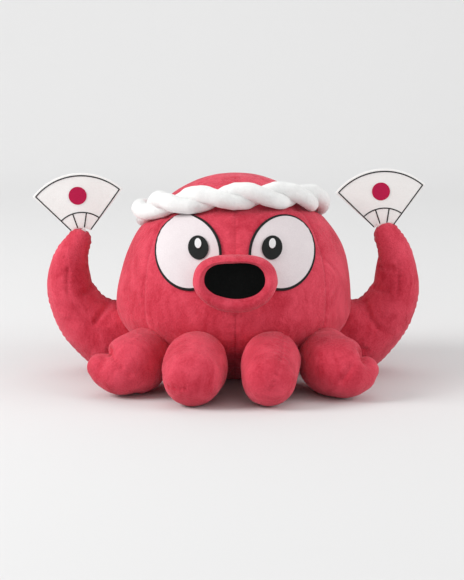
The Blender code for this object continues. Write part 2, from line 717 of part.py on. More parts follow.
def build_fan(side, group, looks):
    root = fan_root_radius()
    line_radius = FAN_RADIUS - FAN_MARGIN
    margin_angle = math.degrees(FAN_MARGIN / line_radius)
    line_angle = FAN_HALF_ANGLE - margin_angle
    panel = flat_outline(
        f"{side}_fan_panel",
        [sector(root, FAN_RADIUS, -FAN_HALF_ANGLE, FAN_HALF_ANGLE, 14)],
        FAN_THICKNESS,
        group,
        looks["white"],
    )

    half = FAN_LINE / 2
    foot = root + FAN_LINE

    def inside(inner, outer, start, end, steps):
        """A hole between ribs: its sides stay half a line from the ribs' middles."""
        points = []
        for radius, first, last, count in ((outer, start, end, steps), (inner, end, start, steps // 2 + 1)):
            trim = math.degrees(half / radius) * (1 if last > first else -1)
            points += arc(radius, first + trim, last - trim, count)
        return points

    loops = [sector(root + GAP, line_radius + half, -line_angle, line_angle, 14)]
    loops.append(inside(FAN_INNER_ARC + half, line_radius - half, -line_angle + 0.6, line_angle - 0.6, 14))
    step = 2 * line_angle / (FAN_RIBS + 1)
    for index in range(FAN_RIBS + 1):
        start = -line_angle + step * index
        loops.append(inside(foot, FAN_INNER_ARC - half, start + 0.6, start + step - 0.6, 4))
    outline = flat_outline(f"{side}_fan_outline", loops, FAN_PRINT_THICKNESS, group, looks["black"])

    bm = bmesh.new()
    bmesh.ops.create_cone(
        bm,
        cap_ends=True,
        segments=20,
        radius1=FAN_DISC_RADIUS,
        radius2=FAN_DISC_RADIUS,
        depth=FAN_PRINT_THICKNESS,
    )
    bmesh.ops.translate(bm, vec=(0, FAN_DISC_PLACE, 0), verts=bm.verts)
    disc = add_mesh(f"{side}_fan_disc", bm, group, looks["crimson"])

    hinge = bpy.data.objects.new(f"{side}_fan_hinge", None)
    hinge.location = fan_apex(side) + fan_turn() @ Vector((0, 0, root))
    group.objects.link(hinge)
    upright = fan_turn() @ Matrix.Rotation(math.radians(90), 3, "X")
    on_face = FAN_THICKNESS / 2 + GAP + FAN_PRINT_THICKNESS / 2
    bpy.context.view_layer.update()
    for obj, forward in ((panel, 0.0), (outline, on_face), (disc, on_face)):
        place = fan_apex(side) + Vector((0, -forward, 0))
        obj.parent = hinge
        obj.matrix_parent_inverse = hinge.matrix_world.inverted()
        scale = MILLIMETRE if obj.type == "CURVE" else 1.0
        obj.matrix_basis = Matrix.Translation(place) @ upright.to_4x4() @ Matrix.Scale(scale, 4)


def main():
    clear_scene()
    group = collection("stuffed_octopus")
    cutters = collection("cutters")
    sockets = collection("sockets")
    looks = {
        "red": material("red_velour", RED, 0.85),
        "white": material("white_felt", WHITE, 0.8),
        "black": material("black_embroidery", BLACK, 0.6),
        "crimson": material("crimson_print", CRIMSON, 0.7),
        "fibre": material("fibre_filling", FIBRE, 0.95),
        "pellet": material("pellet_bag", PELLET, 0.7),
    }
    for side in ("left", "right"):
        build_arm(side, group, looks, sockets)
        build_fan(side, group, looks)
    build_legs(group, looks, sockets)
    for cutter in list(sockets.objects):
        if cutter.name.endswith("_slot"):
            sockets.objects.unlink(cutter)
            cutters.objects.link(cutter)

    build_head(group, looks, cutters, sockets)
    build_base(group, looks, cutters, sockets)
    head_solid = as_cutter(add_mesh("head_solid", head_surface(GAP, closed=True), cutters))
    snout_room = as_cutter(add_mesh("snout_room", snout_surface(2 * GAP), cutters))
    build_snout(group, looks, cutters, head_solid)
    for side in ("left", "right"):
        build_eye(side, group, looks, cutters, snout_room)
    build_headband(group, looks["white"])


if __name__ == "__main__":
    main()
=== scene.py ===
"""A stuffed octopus toy: its velour head and limbs, sewn face, twisted headband and felt fans.

Sizes are in metres. The toy faces -Y, stands on Z = 0 and is centred on X = 0.
An azimuth is measured round the Z axis from the front, positive towards +X.
"""
import logging
import math
from contextlib import contextmanager
from dataclasses import dataclass, field
from enum import Enum
from typing import Callable, Iterator, Optional, Sequence

import bpy
import numpy as np
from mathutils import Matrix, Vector, kdtree, noise


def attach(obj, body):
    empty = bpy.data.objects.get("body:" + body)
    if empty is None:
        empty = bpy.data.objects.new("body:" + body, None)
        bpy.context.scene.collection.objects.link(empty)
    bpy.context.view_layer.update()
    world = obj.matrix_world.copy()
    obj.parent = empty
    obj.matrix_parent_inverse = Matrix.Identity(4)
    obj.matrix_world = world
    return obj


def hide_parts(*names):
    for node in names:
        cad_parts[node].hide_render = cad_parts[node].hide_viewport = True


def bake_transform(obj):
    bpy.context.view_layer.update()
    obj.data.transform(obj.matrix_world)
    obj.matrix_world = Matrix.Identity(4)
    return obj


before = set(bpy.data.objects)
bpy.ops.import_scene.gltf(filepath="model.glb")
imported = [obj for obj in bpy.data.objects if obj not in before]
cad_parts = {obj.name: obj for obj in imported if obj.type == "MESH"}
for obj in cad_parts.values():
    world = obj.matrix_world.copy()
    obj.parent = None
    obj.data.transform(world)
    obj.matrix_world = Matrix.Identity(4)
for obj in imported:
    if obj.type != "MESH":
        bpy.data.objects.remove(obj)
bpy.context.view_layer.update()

log = logging.getLogger("octopus")
MILLIMETRE = 0.001
WELD = 0.01 * MILLIMETRE  # points nearer than this are one point
SOFT_FOOT = 0.0004  # how gradually a cover flattens on the floor
THREAD_PITCH = 0.45 * MILLIMETRE  # from one row of satin stitch to the next
DISC_SIDES = 56
IN_FRONT = 0.3  # from the toy's middle to well in front of it

Colour = tuple[float, float, float]
Place = tuple[float, float, float]
Station = tuple[float, float, float, float]
Rows = list[list[Vector]]
Reach = Callable[[np.ndarray], np.ndarray]


class Side(Enum):
    """The two sides of the toy, as it is looked at from the front."""

    LEFT = -1
    RIGHT = 1

    @property
    def word(self) -> str:
        """The side's name in piece and node names."""
        return self.name.lower()


# ---------------------------------------------------------------- workshop


def deselect() -> None:
    """Leaves nothing selected."""
    for obj in bpy.context.selected_objects:
        obj.select_set(False)


def pick(*objs: bpy.types.Object) -> None:
    """Selects these objects alone, the last of them active.

    Args:
        objs: The objects to select.
    """
    deselect()
    for obj in objs:
        obj.select_set(True)
    bpy.context.view_layer.objects.active = objs[-1]


@contextmanager
def editing(obj: bpy.types.Object, mode: str = "VERT") -> Iterator[None]:
    """Edit mode on one object, with all of it selected at first.

    Args:
        obj: The object to edit.
        mode: What is selected: VERT, EDGE or FACE.

    Yields:
        Nothing; the object is in edit mode meanwhile.
    """
    pick(obj)
    bpy.ops.object.mode_set(mode="EDIT")
    bpy.ops.mesh.select_mode(type=mode)
    bpy.ops.mesh.select_all(action="SELECT")
    yield
    bpy.ops.object.mode_set(mode="OBJECT")


@contextmanager
def editing_edges(obj: bpy.types.Object, chosen: Sequence[bool]) -> Iterator[None]:
    """Edit mode on one object, with only some of its edges selected.

    Args:
        obj: The object to edit.
        chosen: Whether each edge is selected.

    Yields:
        Nothing; the object is in edit mode meanwhile.
    """
    with editing(obj, "EDGE"):
        bpy.ops.mesh.select_all(action="DESELECT")
        bpy.ops.object.mode_set(mode="OBJECT")
        for edge, wanted in zip(obj.data.edges, chosen):
            edge.select = wanted
        bpy.ops.object.mode_set(mode="EDIT")
        yield


def apply_all(obj: bpy.types.Object) -> None:
    """Applies the object's modifiers in order, and then its place.

    Args:
        obj: The object to settle.
    """
    pick(obj)
    for modifier in list(obj.modifiers):
        bpy.ops.object.modifier_apply(modifier=modifier.name)
    bpy.ops.object.transform_apply(location=True, rotation=True, scale=True)


def add_modifier(obj: bpy.types.Object, kind: str, **settings: object) -> bpy.types.Modifier:
    """Adds a modifier with these settings.

    Args:
        obj: The object that takes it.
        kind: The modifier's type.
        settings: Its settings by name.

    Returns:
        The new modifier.
    """
    pick(obj)
    bpy.ops.object.modifier_add(type=kind)
    modifier = obj.modifiers[-1]
    for name, value in settings.items():
        setattr(modifier, name, value)
    return modifier


def subdivide_smoothly(obj: bpy.types.Object, levels: int) -> None:
    """Applies a subdivision surface.

    Args:
        obj: The object to refine.
        levels: How many times it is subdivided.
    """
    add_modifier(obj, "SUBSURF", levels=levels, render_levels=levels)
    apply_all(obj)


def points_of(obj: bpy.types.Object) -> np.ndarray:
    """The mesh's points, one row each."""
    flat = np.empty(len(obj.data.vertices) * 3)
    obj.data.vertices.foreach_get("co", flat)
    return flat.reshape(-1, 3)


def normals_of(obj: bpy.types.Object) -> np.ndarray:
    """The mesh's point normals, one row each."""
    flat = np.empty(len(obj.data.vertices) * 3)
    obj.data.vertices.foreach_get("normal", flat)
    return flat.reshape(-1, 3)


def place_points(obj: bpy.types.Object, points: np.ndarray) -> None:
    """Moves the mesh's points to these places.

    Args:
        obj: The object whose mesh is moved.
        points: One row for each point.
    """
    obj.data.vertices.foreach_set("co", points.reshape(-1))
    obj.data.update()


def mark(obj: bpy.types.Object, name: str, values: np.ndarray) -> None:
    """Stores a value for each point, which a material reads by its name.

    Args:
        obj: The object to mark.
        name: The attribute's name.
        values: One value for each point.
    """
    attribute = obj.data.attributes.get(name)
    if attribute is None:
        attribute = obj.data.attributes.new(name, "FLOAT", "POINT")
    attribute.data.foreach_set("value", values.astype(np.float32))


def smooth_shaded(obj: bpy.types.Object, angle: float = 180.0) -> None:
    """Shades the piece smooth, apart from edges sharper than this angle.

    Args:
        obj: The piece.
        angle: The sharpest smooth edge, in degrees.
    """
    pick(obj)
    if angle >= 180:
        bpy.ops.object.shade_smooth()
    else:
        bpy.ops.object.shade_smooth_by_angle(angle=math.radians(angle))


def toward(azimuth: float) -> Vector:
    """The level direction at this azimuth in degrees."""
    angle = math.radians(azimuth)
    return Vector((math.sin(angle), -math.cos(angle), 0))


def spun(
    name: str, profile: Sequence[tuple[float, float]], steps: int
) -> bpy.types.Object:
    """A form turned round the Z axis.

    Args:
        name: The new object's name.
        profile: Points of (radius, height), which start and end on the axis for a closed form.
        steps: How many faces go round.

    Returns:
        The new object.
    """
    deselect()
    radius, height = profile[0]
    bpy.ops.mesh.primitive_plane_add(size=MILLIMETRE, location=(radius, 0, height))
    obj = bpy.context.object
    obj.name = name
    apply_all(obj)
    with editing(obj):
        bpy.ops.mesh.merge(type="CENTER")
        for (radius, height), (next_radius, next_height) in zip(profile, profile[1:]):
            step = (next_radius - radius, 0, next_height - height)
            bpy.ops.mesh.extrude_region_move(TRANSFORM_OT_translate={"value": step})
        bpy.ops.mesh.select_all(action="SELECT")
        bpy.ops.mesh.spin(steps=steps, angle=math.tau, center=(0, 0, 0), axis=(0, 0, 1))
        bpy.ops.mesh.select_all(action="SELECT")
        bpy.ops.mesh.remove_doubles(threshold=WELD)
        bpy.ops.mesh.normals_make_consistent(inside=False)
    return obj


def tube(
    name: str, stations: Sequence[Station], around: int, ring: bool = False
) -> bpy.types.Object:
    """A round tube along a path, its ends capped.

    Args:
        name: The new object's name.
        stations: The path's points as (x, y, z, radius).
        around: How many faces go round it, a multiple of four.
        ring: Whether the path closes on itself.

    Returns:
        The new object.
    """
    deselect()
    bpy.ops.curve.primitive_nurbs_path_add(radius=MILLIMETRE)
    obj = bpy.context.object
    obj.name = name
    curve = obj.data
    curve.splines.clear()
    curve.bevel_depth = 1.0
    curve.bevel_resolution = around // 2 - 2
    curve.use_fill_caps = not ring
    path = curve.splines.new("POLY")
    path.points.add(len(stations) - 1)
    path.use_cyclic_u = ring
    for point, (x, y, z, radius) in zip(path.points, stations):
        point.co = (x, y, z, 1)
        point.radius = radius
    pick(obj)
    bpy.ops.object.convert(target="MESH")
    obj = bpy.context.object
    with editing(obj):
        bpy.ops.mesh.remove_doubles(threshold=WELD)
        bpy.ops.mesh.normals_make_consistent(inside=False)
    return obj


def disc(
    name: str, x: float, z: float, half_width: float, half_height: float, rings: int
) -> bpy.types.Object:
    """An oval of even rings, facing the front.

    Args:
        name: The new object's name.
        x: Its middle across.
        z: Its middle's height.
        half_width: Half its width.
        half_height: Half its height.
        rings: How many rings of faces it has.

    Returns:
        The new object.
    """
    deselect()
    bpy.ops.mesh.primitive_circle_add(
        vertices=DISC_SIDES, radius=1.0, fill_type="NGON", rotation=(math.pi / 2, 0, 0)
    )
    obj = bpy.context.object
    obj.name = name
    apply_all(obj)
    with editing(obj, "FACE"):
        for ring in range(rings - 1):
            left = 1 - ring / rings
            step = 1 / rings * math.cos(math.pi / DISC_SIDES)
            bpy.ops.mesh.inset(thickness=step * min(1.0, left))
        bpy.ops.mesh.poke()
        bpy.ops.mesh.select_all(action="SELECT")
        bpy.ops.transform.resize(value=(half_width, 1, half_height), center_override=(0, 0, 0))
        bpy.ops.transform.translate(value=(x, 0, z))
    return obj


def through(stations: Sequence[Station], share: float) -> Vector:
    """A point on the smooth curve through the stations.

    Args:
        stations: Points of (x, y, z, radius).
        share: How far along, from 0 to 1.

    Returns:
        The point as (x, y, z, radius).
    """
    last = len(stations) - 1
    start = min(int(share * last), last - 1)
    t = share * last - start
    a, b, c, d = (Vector(stations[min(max(start + step, 0), last)]) for step in (-1, 0, 1, 2))
    pull = (-a + 3 * b - 3 * c + d) * t ** 3 + (2 * a - 5 * b + 4 * c - d) * t ** 2
    return b + 0.5 * (pull + (c - a) * t)


ROUGH_STEPS = (1.0, 2.7, -1.3)  # how far each seed shifts the pattern, as a share of its hills


def rough(points: np.ndarray, size: float, seed: float) -> np.ndarray:
    """Smooth unevenness over space.

    Args:
        points: Where it is read.
        size: How far apart its hills are.
        seed: Which of its many patterns is used.

    Returns:
        A value from about -1 to 1 for each point.
    """
    shift = Vector([seed * step for step in ROUGH_STEPS])
    return np.array([noise.noise(Vector(point) / size + shift) for point in points])


# ---------------------------------------------------------------- soft goods


NO_MOVE = 1e-9  # a shorter move counts as none


@dataclass(frozen=True)
class Stuffing:
    """How a cover is filled.

    Attributes:
        grid: The size of the faces that the cloth is simulated with.
        pressure: The filling's push.
        swell: How far the cloth may move out.
        fine: How many times the result is subdivided.
        fill: How tight it is, from 0 to 1; not used.
        frames: How long the filling pushes.
        mass: The weight of each point of the cloth.
        quality: How many steps are worked out for each frame.
    """

    grid: float = 0.0045
    pressure: float = 4.0
    swell: float = 0.0030
    fine: int = 2
    fill: float = 0.8
    frames: int = 20
    mass: float = 0.3
    quality: int = 5

    def into(self, obj: bpy.types.Object, give: Optional[Reach] = None) -> None:
        """Fills the cover by a cloth simulation, and refines it.

        Args:
            obj: The closed cover, a little smaller than the stuffed piece.
            give: How freely the cloth moves at each point, from 0 at a seam to 1.
        """
        pick(obj)
        bpy.ops.object.duplicate()
        form = bpy.context.object
        obj.data.remesh_voxel_size = self.grid
        pick(obj)
        bpy.ops.object.voxel_remesh()
        add_modifier(obj, "SHRINKWRAP", target=form, wrap_method="NEAREST_SURFACEPOINT")
        apply_all(obj)
        bpy.data.objects.remove(form, do_unlink=True)
        self.blow(obj, give)
        subdivide_smoothly(obj, self.fine)

    def blow(self, obj: bpy.types.Object, give: Optional[Reach]) -> None:
        """Lets the filling push the cloth out, and holds each point within its reach.

        Args:
            obj: The cover with an even grid of faces.
            give: How freely the cloth moves at each point.
        """
        sewn = points_of(obj)
        cloth = add_modifier(obj, "CLOTH")
        cloth.settings.quality = self.quality
        cloth.settings.mass = self.mass
        cloth.settings.use_pressure = True
        cloth.settings.uniform_pressure_force = self.pressure
        cloth.settings.effector_weights.gravity = 0
        cloth.point_cache.frame_end = self.frames
        for step in range(1, self.frames + 1):
            bpy.context.scene.frame_set(step)
        bpy.ops.object.modifier_apply(modifier=cloth.name)
        bpy.context.scene.frame_set(1)
        moved = points_of(obj) - sewn
        far = np.maximum(np.linalg.norm(moved, axis=1, keepdims=True), NO_MOVE)
        most = self.swell * (give(sewn)[:, None] if give else 1.0)
        place_points(obj, sewn + moved * np.minimum(1.0, most / far))


@dataclass(frozen=True)
class Seam:
    """A sewn line that pulls the cover in.

    Attributes:
        line: Points along the seam.
        depth: How deep it pulls.
        width: How wide its valley is.
        pucker: The height of the small gathers beside it.
        gather: How far apart the gathers are.
        stitched: Whether it is sewn, and not only a fold; only a sewn line gets painted shade.
        beside: How far the gathers reach, as a multiple of the valley's width.
        dark: How far from the line the painted seam shade reaches.
        wander: How unevenly the gathers follow each other.
        wander_size: How far apart the uneven places are.
    """

    line: Sequence[Vector]
    depth: float = 0.0011
    width: float = 0.0022
    pucker: float = 0.00035
    gather: float = 0.0075
    stitched: bool = True
    beside: float = 3.2
    dark: float = 0.75 * MILLIMETRE
    wander: float = 2.2
    wander_size: float = 0.02

    def nearest(self, points: np.ndarray) -> tuple[np.ndarray, np.ndarray]:
        """The distance from each point to the seam, and how far along it that is.

        Args:
            points: The points to measure.

        Returns:
            The distances and the lengths along the seam.
        """
        tree = kdtree.KDTree(len(self.line))
        along = [0.0]
        for index, point in enumerate(self.line):
            tree.insert(point, index)
            if index:
                along.append(along[-1] + (point - self.line[index - 1]).length)
        tree.balance()
        found = [tree.find(point) for point in points]
        distances = np.array([distance for _, _, distance in found])
        return distances, np.array([along[index] for _, index, _ in found])

    def pull(
        self, points: np.ndarray, normals: np.ndarray, seed: float
    ) -> tuple[np.ndarray, np.ndarray]:
        """How the seam shapes the cover.

        Args:
            points: The cover's points.
            normals: Its normals.
            seed: Varies the gathers.

        Returns:
            The points' moves, and how near each is to the seam from 0 to 1, the mask of painted
            shade.
        """
        far, along = self.nearest(points)
        valley = np.exp(-((far / self.width) ** 2))
        uneven = self.wander * rough(points, self.wander_size, seed)
        phase = math.tau * along / self.gather + uneven
        beside = np.exp(-((far / (self.beside * self.width)) ** 2)) * (1 - valley)
        height = -self.depth * valley + self.pucker * beside * np.sin(phase)
        # the mask of painted shade along a sewn line
        near = np.exp(-((far / self.dark) ** 2)) * float(self.stitched)
        return normals * height[:, None], near


def freedom(
    points: np.ndarray, seams: Sequence[Seam], reach: float, least: float
) -> np.ndarray:
    """How freely a cover moves: least at its seams, and fully beyond their reach.

    Args:
        points: Where it is read.
        seams: The cover's seams.
        reach: How far a seam holds the cover.
        least: How freely it moves at a seam.

    Returns:
        A value from least to 1 for each point.
    """
    free = np.ones(len(points))
    for seam in seams:
        free = np.minimum(free, seam.nearest(points)[0] / reach)
    return least + (1 - least) * np.clip(free, 0, 1)


def sew(obj: bpy.types.Object, seams: Sequence[Seam], seed: float) -> None:
    """Pulls the seams into a cover, and marks where they are as the mask of painted seam shade.

    Args:
        obj: The finished cover.
        seams: Its seams.
        seed: Varies the gathers.
    """
    points, normals = points_of(obj), normals_of(obj)
    total, near = np.zeros_like(points), np.zeros(len(points))
    for index, seam in enumerate(seams):
        move, close = seam.pull(points, normals, seed + index)
        total += move
        near = np.maximum(near, close)
    place_points(obj, points + total)
    # the mask that the velour darkens with painted seam shade
    mark(obj, "seam", near)


LUMP_SIZE, LUMP_HEIGHT, LUMP_SEED = 0.4, 0.35, 5  # the small lumps on the filling's hills


def rumple(obj: bpy.types.Object, height: float, size: float, seed: float) -> None:
    """Gives a stuffed cover the unevenness of its filling.

    Args:
        obj: The cover.
        height: How high the hills are.
        size: How far apart they are.
        seed: Varies the pattern.
    """
    points = points_of(obj)
    lumps = rough(points, LUMP_SIZE * size, seed + LUMP_SEED)
    hills = rough(points, size, seed) + LUMP_HEIGHT * lumps
    place_points(obj, points + normals_of(obj) * (height * hills)[:, None])


def swell(obj: bpy.types.Object, centre: Vector, reach: float, push: Vector) -> None:
    """Pushes part of a cover out, most at one place and less round it.

    Args:
        obj: The cover.
        centre: The place.
        reach: How far round it the push is felt.
        push: The move at the place itself.
    """
    points = points_of(obj)
    far = np.linalg.norm(points - np.array(centre), axis=1)
    place_points(obj, points + np.exp(-((far / reach) ** 2))[:, None] * np.array(push))


def sit_down(obj: bpy.types.Object) -> None:
    """Flattens what would be under the floor, as a soft piece does under its weight.

    Args:
        obj: The piece.
    """
    points = points_of(obj)
    points[:, 2] = SOFT_FOOT * np.logaddexp(0, points[:, 2] / SOFT_FOOT)
    place_points(obj, points)


def front_of(head: bpy.types.Object) -> Callable[[float, float], float]:
    """How far forward the head's front is at a place across and up it.

    Args:
        head: The head's cover.

    Returns:
        A function of (x, z) that gives y.
    """

    def forward(x: float, z: float) -> float:
        """The first point of the head behind a point well in front of it."""
        hit, place, _, _ = head.ray_cast(Vector((x, -IN_FRONT, z)), Vector((0, 1, 0)))
        return place.y if hit else 0.0

    return forward


# ---------------------------------------------------------------- finishes


class Sheet:
    """A node tree being laid out, for a material or a shared group."""

    def __init__(self, tree: bpy.types.NodeTree) -> None:
        """Starts on an empty tree.

        Args:
            tree: The tree that takes the nodes.
        """
        self.tree = tree
        self.tree.nodes.clear()
        self.column = 0

    def add(self, kind: str, inputs: Optional[dict] = None, **settings: object) -> bpy.types.Node:
        """Adds a node, and sets or links its inputs.

        Args:
            kind: The node's type.
            inputs: By socket name or number, a value or the output that feeds it.
            settings: The node's own settings.

        Returns:
            The new node.
        """
        node = self.tree.nodes.new(kind)
        self.column += 1
        node.location = (220 * (self.column % 9), -280 * (self.column // 9))
        for name, value in settings.items():
            setattr(node, name, value)
        for name, value in (inputs or {}).items():
            if isinstance(value, bpy.types.NodeSocket):
                self.tree.links.new(value, node.inputs[name])
            else:
                node.inputs[name].default_value = value
        return node

    def math(self, operation: str, *values: object) -> bpy.types.NodeSocket:
        """The result of a sum on numbers or outputs.

        Args:
            operation: The sum's name.
            values: Numbers or outputs.

        Returns:
            The result's output.
        """
        return self.add("ShaderNodeMath", dict(enumerate(values)), operation=operation).outputs[0]

    def ramp(self, value: bpy.types.NodeSocket, low: float, high: float) -> bpy.types.NodeSocket:
        """The value from low to high, spread from 0 to 1 and kept there.

        Args:
            value: What is spread.
            low: What becomes 0.
            high: What becomes 1.

        Returns:
            The result's output.
        """
        node = self.add("ShaderNodeMapRange", {"Value": value, "From Min": low, "From Max": high})
        node.clamp = True
        return node.outputs["Result"]

    def noise(
        self, place: bpy.types.NodeSocket, scale: float, detail: float,
        roughness: float = 0.5, output: str = "Fac",
    ) -> bpy.types.NodeSocket:
        """A smooth random pattern.

        Args:
            place: Where it is read.
            scale: How many of its hills fit in a metre.
            detail: How many finer patterns lie on it.
            roughness: How strong those are.
            output: Fac or Color.

        Returns:
            The pattern's output.
        """
        inputs = {"Vector": place, "Scale": scale, "Detail": detail, "Roughness": roughness}
        return self.add("ShaderNodeTexNoise", inputs).outputs[output]

    def weighted(self, *terms: tuple[bpy.types.NodeSocket, float]) -> bpy.types.NodeSocket:
        """The sum of outputs, each times its weight.

        Args:
            terms: The outputs and their weights.

        Returns:
            The sum's output.
        """
        products = [self.math("MULTIPLY", value, weight) for value, weight in terms]
        total = products[0]
        for product in products[1:]:
            total = self.math("ADD", total, product)
        return total

    def mix(self, share: object, first: object, second: object) -> bpy.types.NodeSocket:
        """A colour between two.

        Args:
            share: How far to the second.
            first: A colour or an output.
            second: A colour or an output.

        Returns:
            The colour's output.
        """
        node = self.add("ShaderNodeMix", data_type="RGBA")
        for index, value in ((0, share), (6, first), (7, second)):
            if isinstance(value, bpy.types.NodeSocket):
                self.tree.links.new(value, node.inputs[index])
            else:
                node.inputs[index].default_value = value
        return node.outputs[2]


def group(
    name: str, outputs: Sequence[str]
) -> tuple[bpy.types.NodeTree, Sheet, bpy.types.NodeSocket]:
    """A shared group that takes a place and gives masks and heights.

    Args:
        name: The group's name.
        outputs: The names of the numbers that it gives.

    Returns:
        The group's tree, its sheet, and the place that comes in.
    """
    tree = bpy.data.node_groups.new(name, "ShaderNodeTree")
    tree.interface.new_socket("Place", in_out="INPUT", socket_type="NodeSocketVector")
    for output in outputs:
        tree.interface.new_socket(output, in_out="OUTPUT", socket_type="NodeSocketFloat")
    sheet = Sheet(tree)
    entry = sheet.add("NodeGroupInput")
    return tree, sheet, entry.outputs["Place"]


def nap_group() -> bpy.types.NodeTree:
    """Brushed pile: broad strokes where it lies one way, and the fine grain of its tips.

    Returns:
        The group, which gives Brush and Pile.
    """
    tree, sheet, place = group("brushed_nap", ("Brush", "Pile"))
    bend = sheet.noise(place, scale=26.0, detail=2.0, output="Color")
    centred = {0: bend, 1: (0.5, 0.5, 0.5)}
    shifted = sheet.add("ShaderNodeVectorMath", centred, operation="SUBTRACT").outputs[0]
    push = {0: shifted, "Scale": 0.035}
    pushed = sheet.add("ShaderNodeVectorMath", push, operation="SCALE").outputs[0]
    swept = sheet.add("ShaderNodeVectorMath", {0: place, 1: pushed}).outputs[0]
    long = {"Vector": swept, "Scale": (1.0, 1.0, 0.42)}
    strokes = sheet.add("ShaderNodeMapping", long).outputs[0]
    wide = sheet.ramp(sheet.noise(swept, scale=34.0, detail=3.0, roughness=0.55), 0.39, 0.62)
    fine = sheet.ramp(sheet.noise(strokes, scale=150.0, detail=3.0), 0.35, 0.65)
    dots = sheet.ramp(sheet.noise(place, scale=620.0, detail=3.0, roughness=0.7), 0.34, 0.66)
    tips = sheet.ramp(sheet.noise(place, scale=1500.0, detail=2.0, roughness=0.7), 0.25, 0.75)
    brush = sheet.weighted((wide, 0.40), (fine, 0.30), (dots, 0.30))
    pile = sheet.weighted((dots, 0.5), (tips, 0.5), (fine, 0.6))
    sheet.add("NodeGroupOutput", {"Brush": brush, "Pile": pile})
    return tree


def weave_group() -> bpy.types.NodeTree:
    """A fine flat cloth: two sets of threads that cross, with a little fuzz.

    Returns:
        The group, which gives Thread and Fuzz.
    """
    tree, sheet, place = group("fine_cloth", ("Thread", "Fuzz"))
    threads = []
    for direction in "XZ":
        rows = {"Vector": place, "Scale": 320.0, "Distortion": 0.6, "Detail Scale": 2.0}
        wave = sheet.add("ShaderNodeTexWave", rows, bands_direction=direction)
        threads.append(wave.outputs["Fac"])
    fuzz = sheet.noise(place, scale=900.0, detail=3.0, roughness=0.65)
    soil = sheet.noise(place, scale=60.0, detail=2.0)
    soft = sheet.ramp(sheet.weighted((fuzz, 0.6), (soil, 0.4)), 0.3, 0.7)
    sheet.add("NodeGroupOutput", {"Thread": sheet.math("MULTIPLY", *threads), "Fuzz": soft})
    return tree


@dataclass(frozen=True)
class Finish:
    """What every finish of the toy shares.

    Attributes:
        name: The material's name.
        light: Its colour where it is lightest.
        dark: Its colour where it is darkest.
        roughness: How dull it is.
        sheen: How strongly its fibres catch the light at a slant.
        sheen_roughness: How widely they spread it.
        sheen_colour: The colour that they catch.
        specular: How much it shines.
    """

    name: str
    light: Colour
    dark: Colour
    roughness: float = 0.9
    sheen: float = 0.2
    sheen_roughness: float = 0.4
    sheen_colour: Colour = (1.0, 1.0, 1.0)
    specular: float = 0.2

    def base(self) -> tuple[bpy.types.Material, Sheet, bpy.types.NodeSocket]:
        """A new material with its nodes empty.

        Returns:
            The material, its sheet, and the object's coordinates.
        """
        material = bpy.data.materials.new(self.name)
        material.use_nodes = True
        sheet = Sheet(material.node_tree)
        place = sheet.add("ShaderNodeTexCoord").outputs["Object"]
        return material, sheet, place

    def between(self, sheet: Sheet, share: bpy.types.NodeSocket) -> bpy.types.NodeSocket:
        """The colour at this share of the way from dark to light."""
        return sheet.mix(share, (*self.dark, 1), (*self.light, 1))

    def close(
        self, sheet: Sheet, colour: object, height: object, bump: float, roughness: object = None
    ) -> None:
        """Feeds the shader.

        Args:
            sheet: The material's sheet.
            colour: The base colour's output.
            height: The bump's output.
            bump: How high the bump is.
            roughness: The roughness's output, if it varies.
        """
        relief = {"Height": height, "Strength": 1.0, "Distance": bump}
        normal = sheet.add("ShaderNodeBump", relief)
        shader = sheet.add(
            "ShaderNodeBsdfPrincipled",
            {
                "Base Color": colour,
                "Normal": normal.outputs["Normal"],
                "Roughness": self.roughness if roughness is None else roughness,
                "Sheen Weight": self.sheen,
                "Sheen Roughness": self.sheen_roughness,
                "Sheen Tint": (*self.sheen_colour, 1.0),
                "Specular IOR Level": self.specular,
            },
        )
        sheet.add("ShaderNodeOutputMaterial", {"Surface": shader.outputs[0]})


@dataclass(frozen=True)
class Velour(Finish):
    """Short pile, brushed different ways, with painted shade down in its seams.

    Attributes:
        seam: The painted shade colour down in a seam.
        seam_shade_share: How much of that painted shade shows there.
        pile: How high the pile's bump is.
        gloss: How much less rough it is where it is lightest.
    """

    # the colour of the painted shade in the seams
    seam: Colour = (0.25, 0.01, 0.02)
    seam_shade_share: float = 0.75
    pile: float = 0.00045
    gloss: float = 0.12

    def make(self, nap: bpy.types.NodeTree) -> bpy.types.Material:
        """Builds the material.

        Args:
            nap: The shared brushed nap.

        Returns:
            The material.
        """
        material, sheet, place = self.base()
        brushed = sheet.add("ShaderNodeGroup", node_tree=nap)
        sheet.tree.links.new(place, brushed.inputs["Place"])
        brush, pile = brushed.outputs["Brush"], brushed.outputs["Pile"]
        # the seam mask, where painted shade darkens the velour
        seam = sheet.add("ShaderNodeAttribute", attribute_name="seam").outputs["Fac"]
        painted_seam_shade = sheet.math("MULTIPLY", seam, self.seam_shade_share)
        colour = sheet.mix(painted_seam_shade, self.between(sheet, brush), (*self.seam, 1))
        roughness = sheet.math("MULTIPLY_ADD", brush, -self.gloss, self.roughness)
        self.close(sheet, colour, pile, self.pile, roughness)
        return material


@dataclass(frozen=True)
class Cloth(Finish):
    """Flat cloth with fine threads.

    Attributes:
        thread: How high the threads' bump is.
    """

    thread: float = 0.00012

    def make(self, weave: bpy.types.NodeTree) -> bpy.types.Material:
        """Builds the material.

        Args:
            weave: The shared fine cloth.

        Returns:
            The material.
        """
        material, sheet, place = self.base()
        cloth = sheet.add("ShaderNodeGroup", node_tree=weave)
        sheet.tree.links.new(place, cloth.inputs["Place"])
        fuzz = cloth.outputs["Fuzz"]
        height = sheet.weighted((cloth.outputs["Thread"], 0.6), (fuzz, 1.0))
        self.close(sheet, self.between(sheet, fuzz), height, self.thread)
        return material


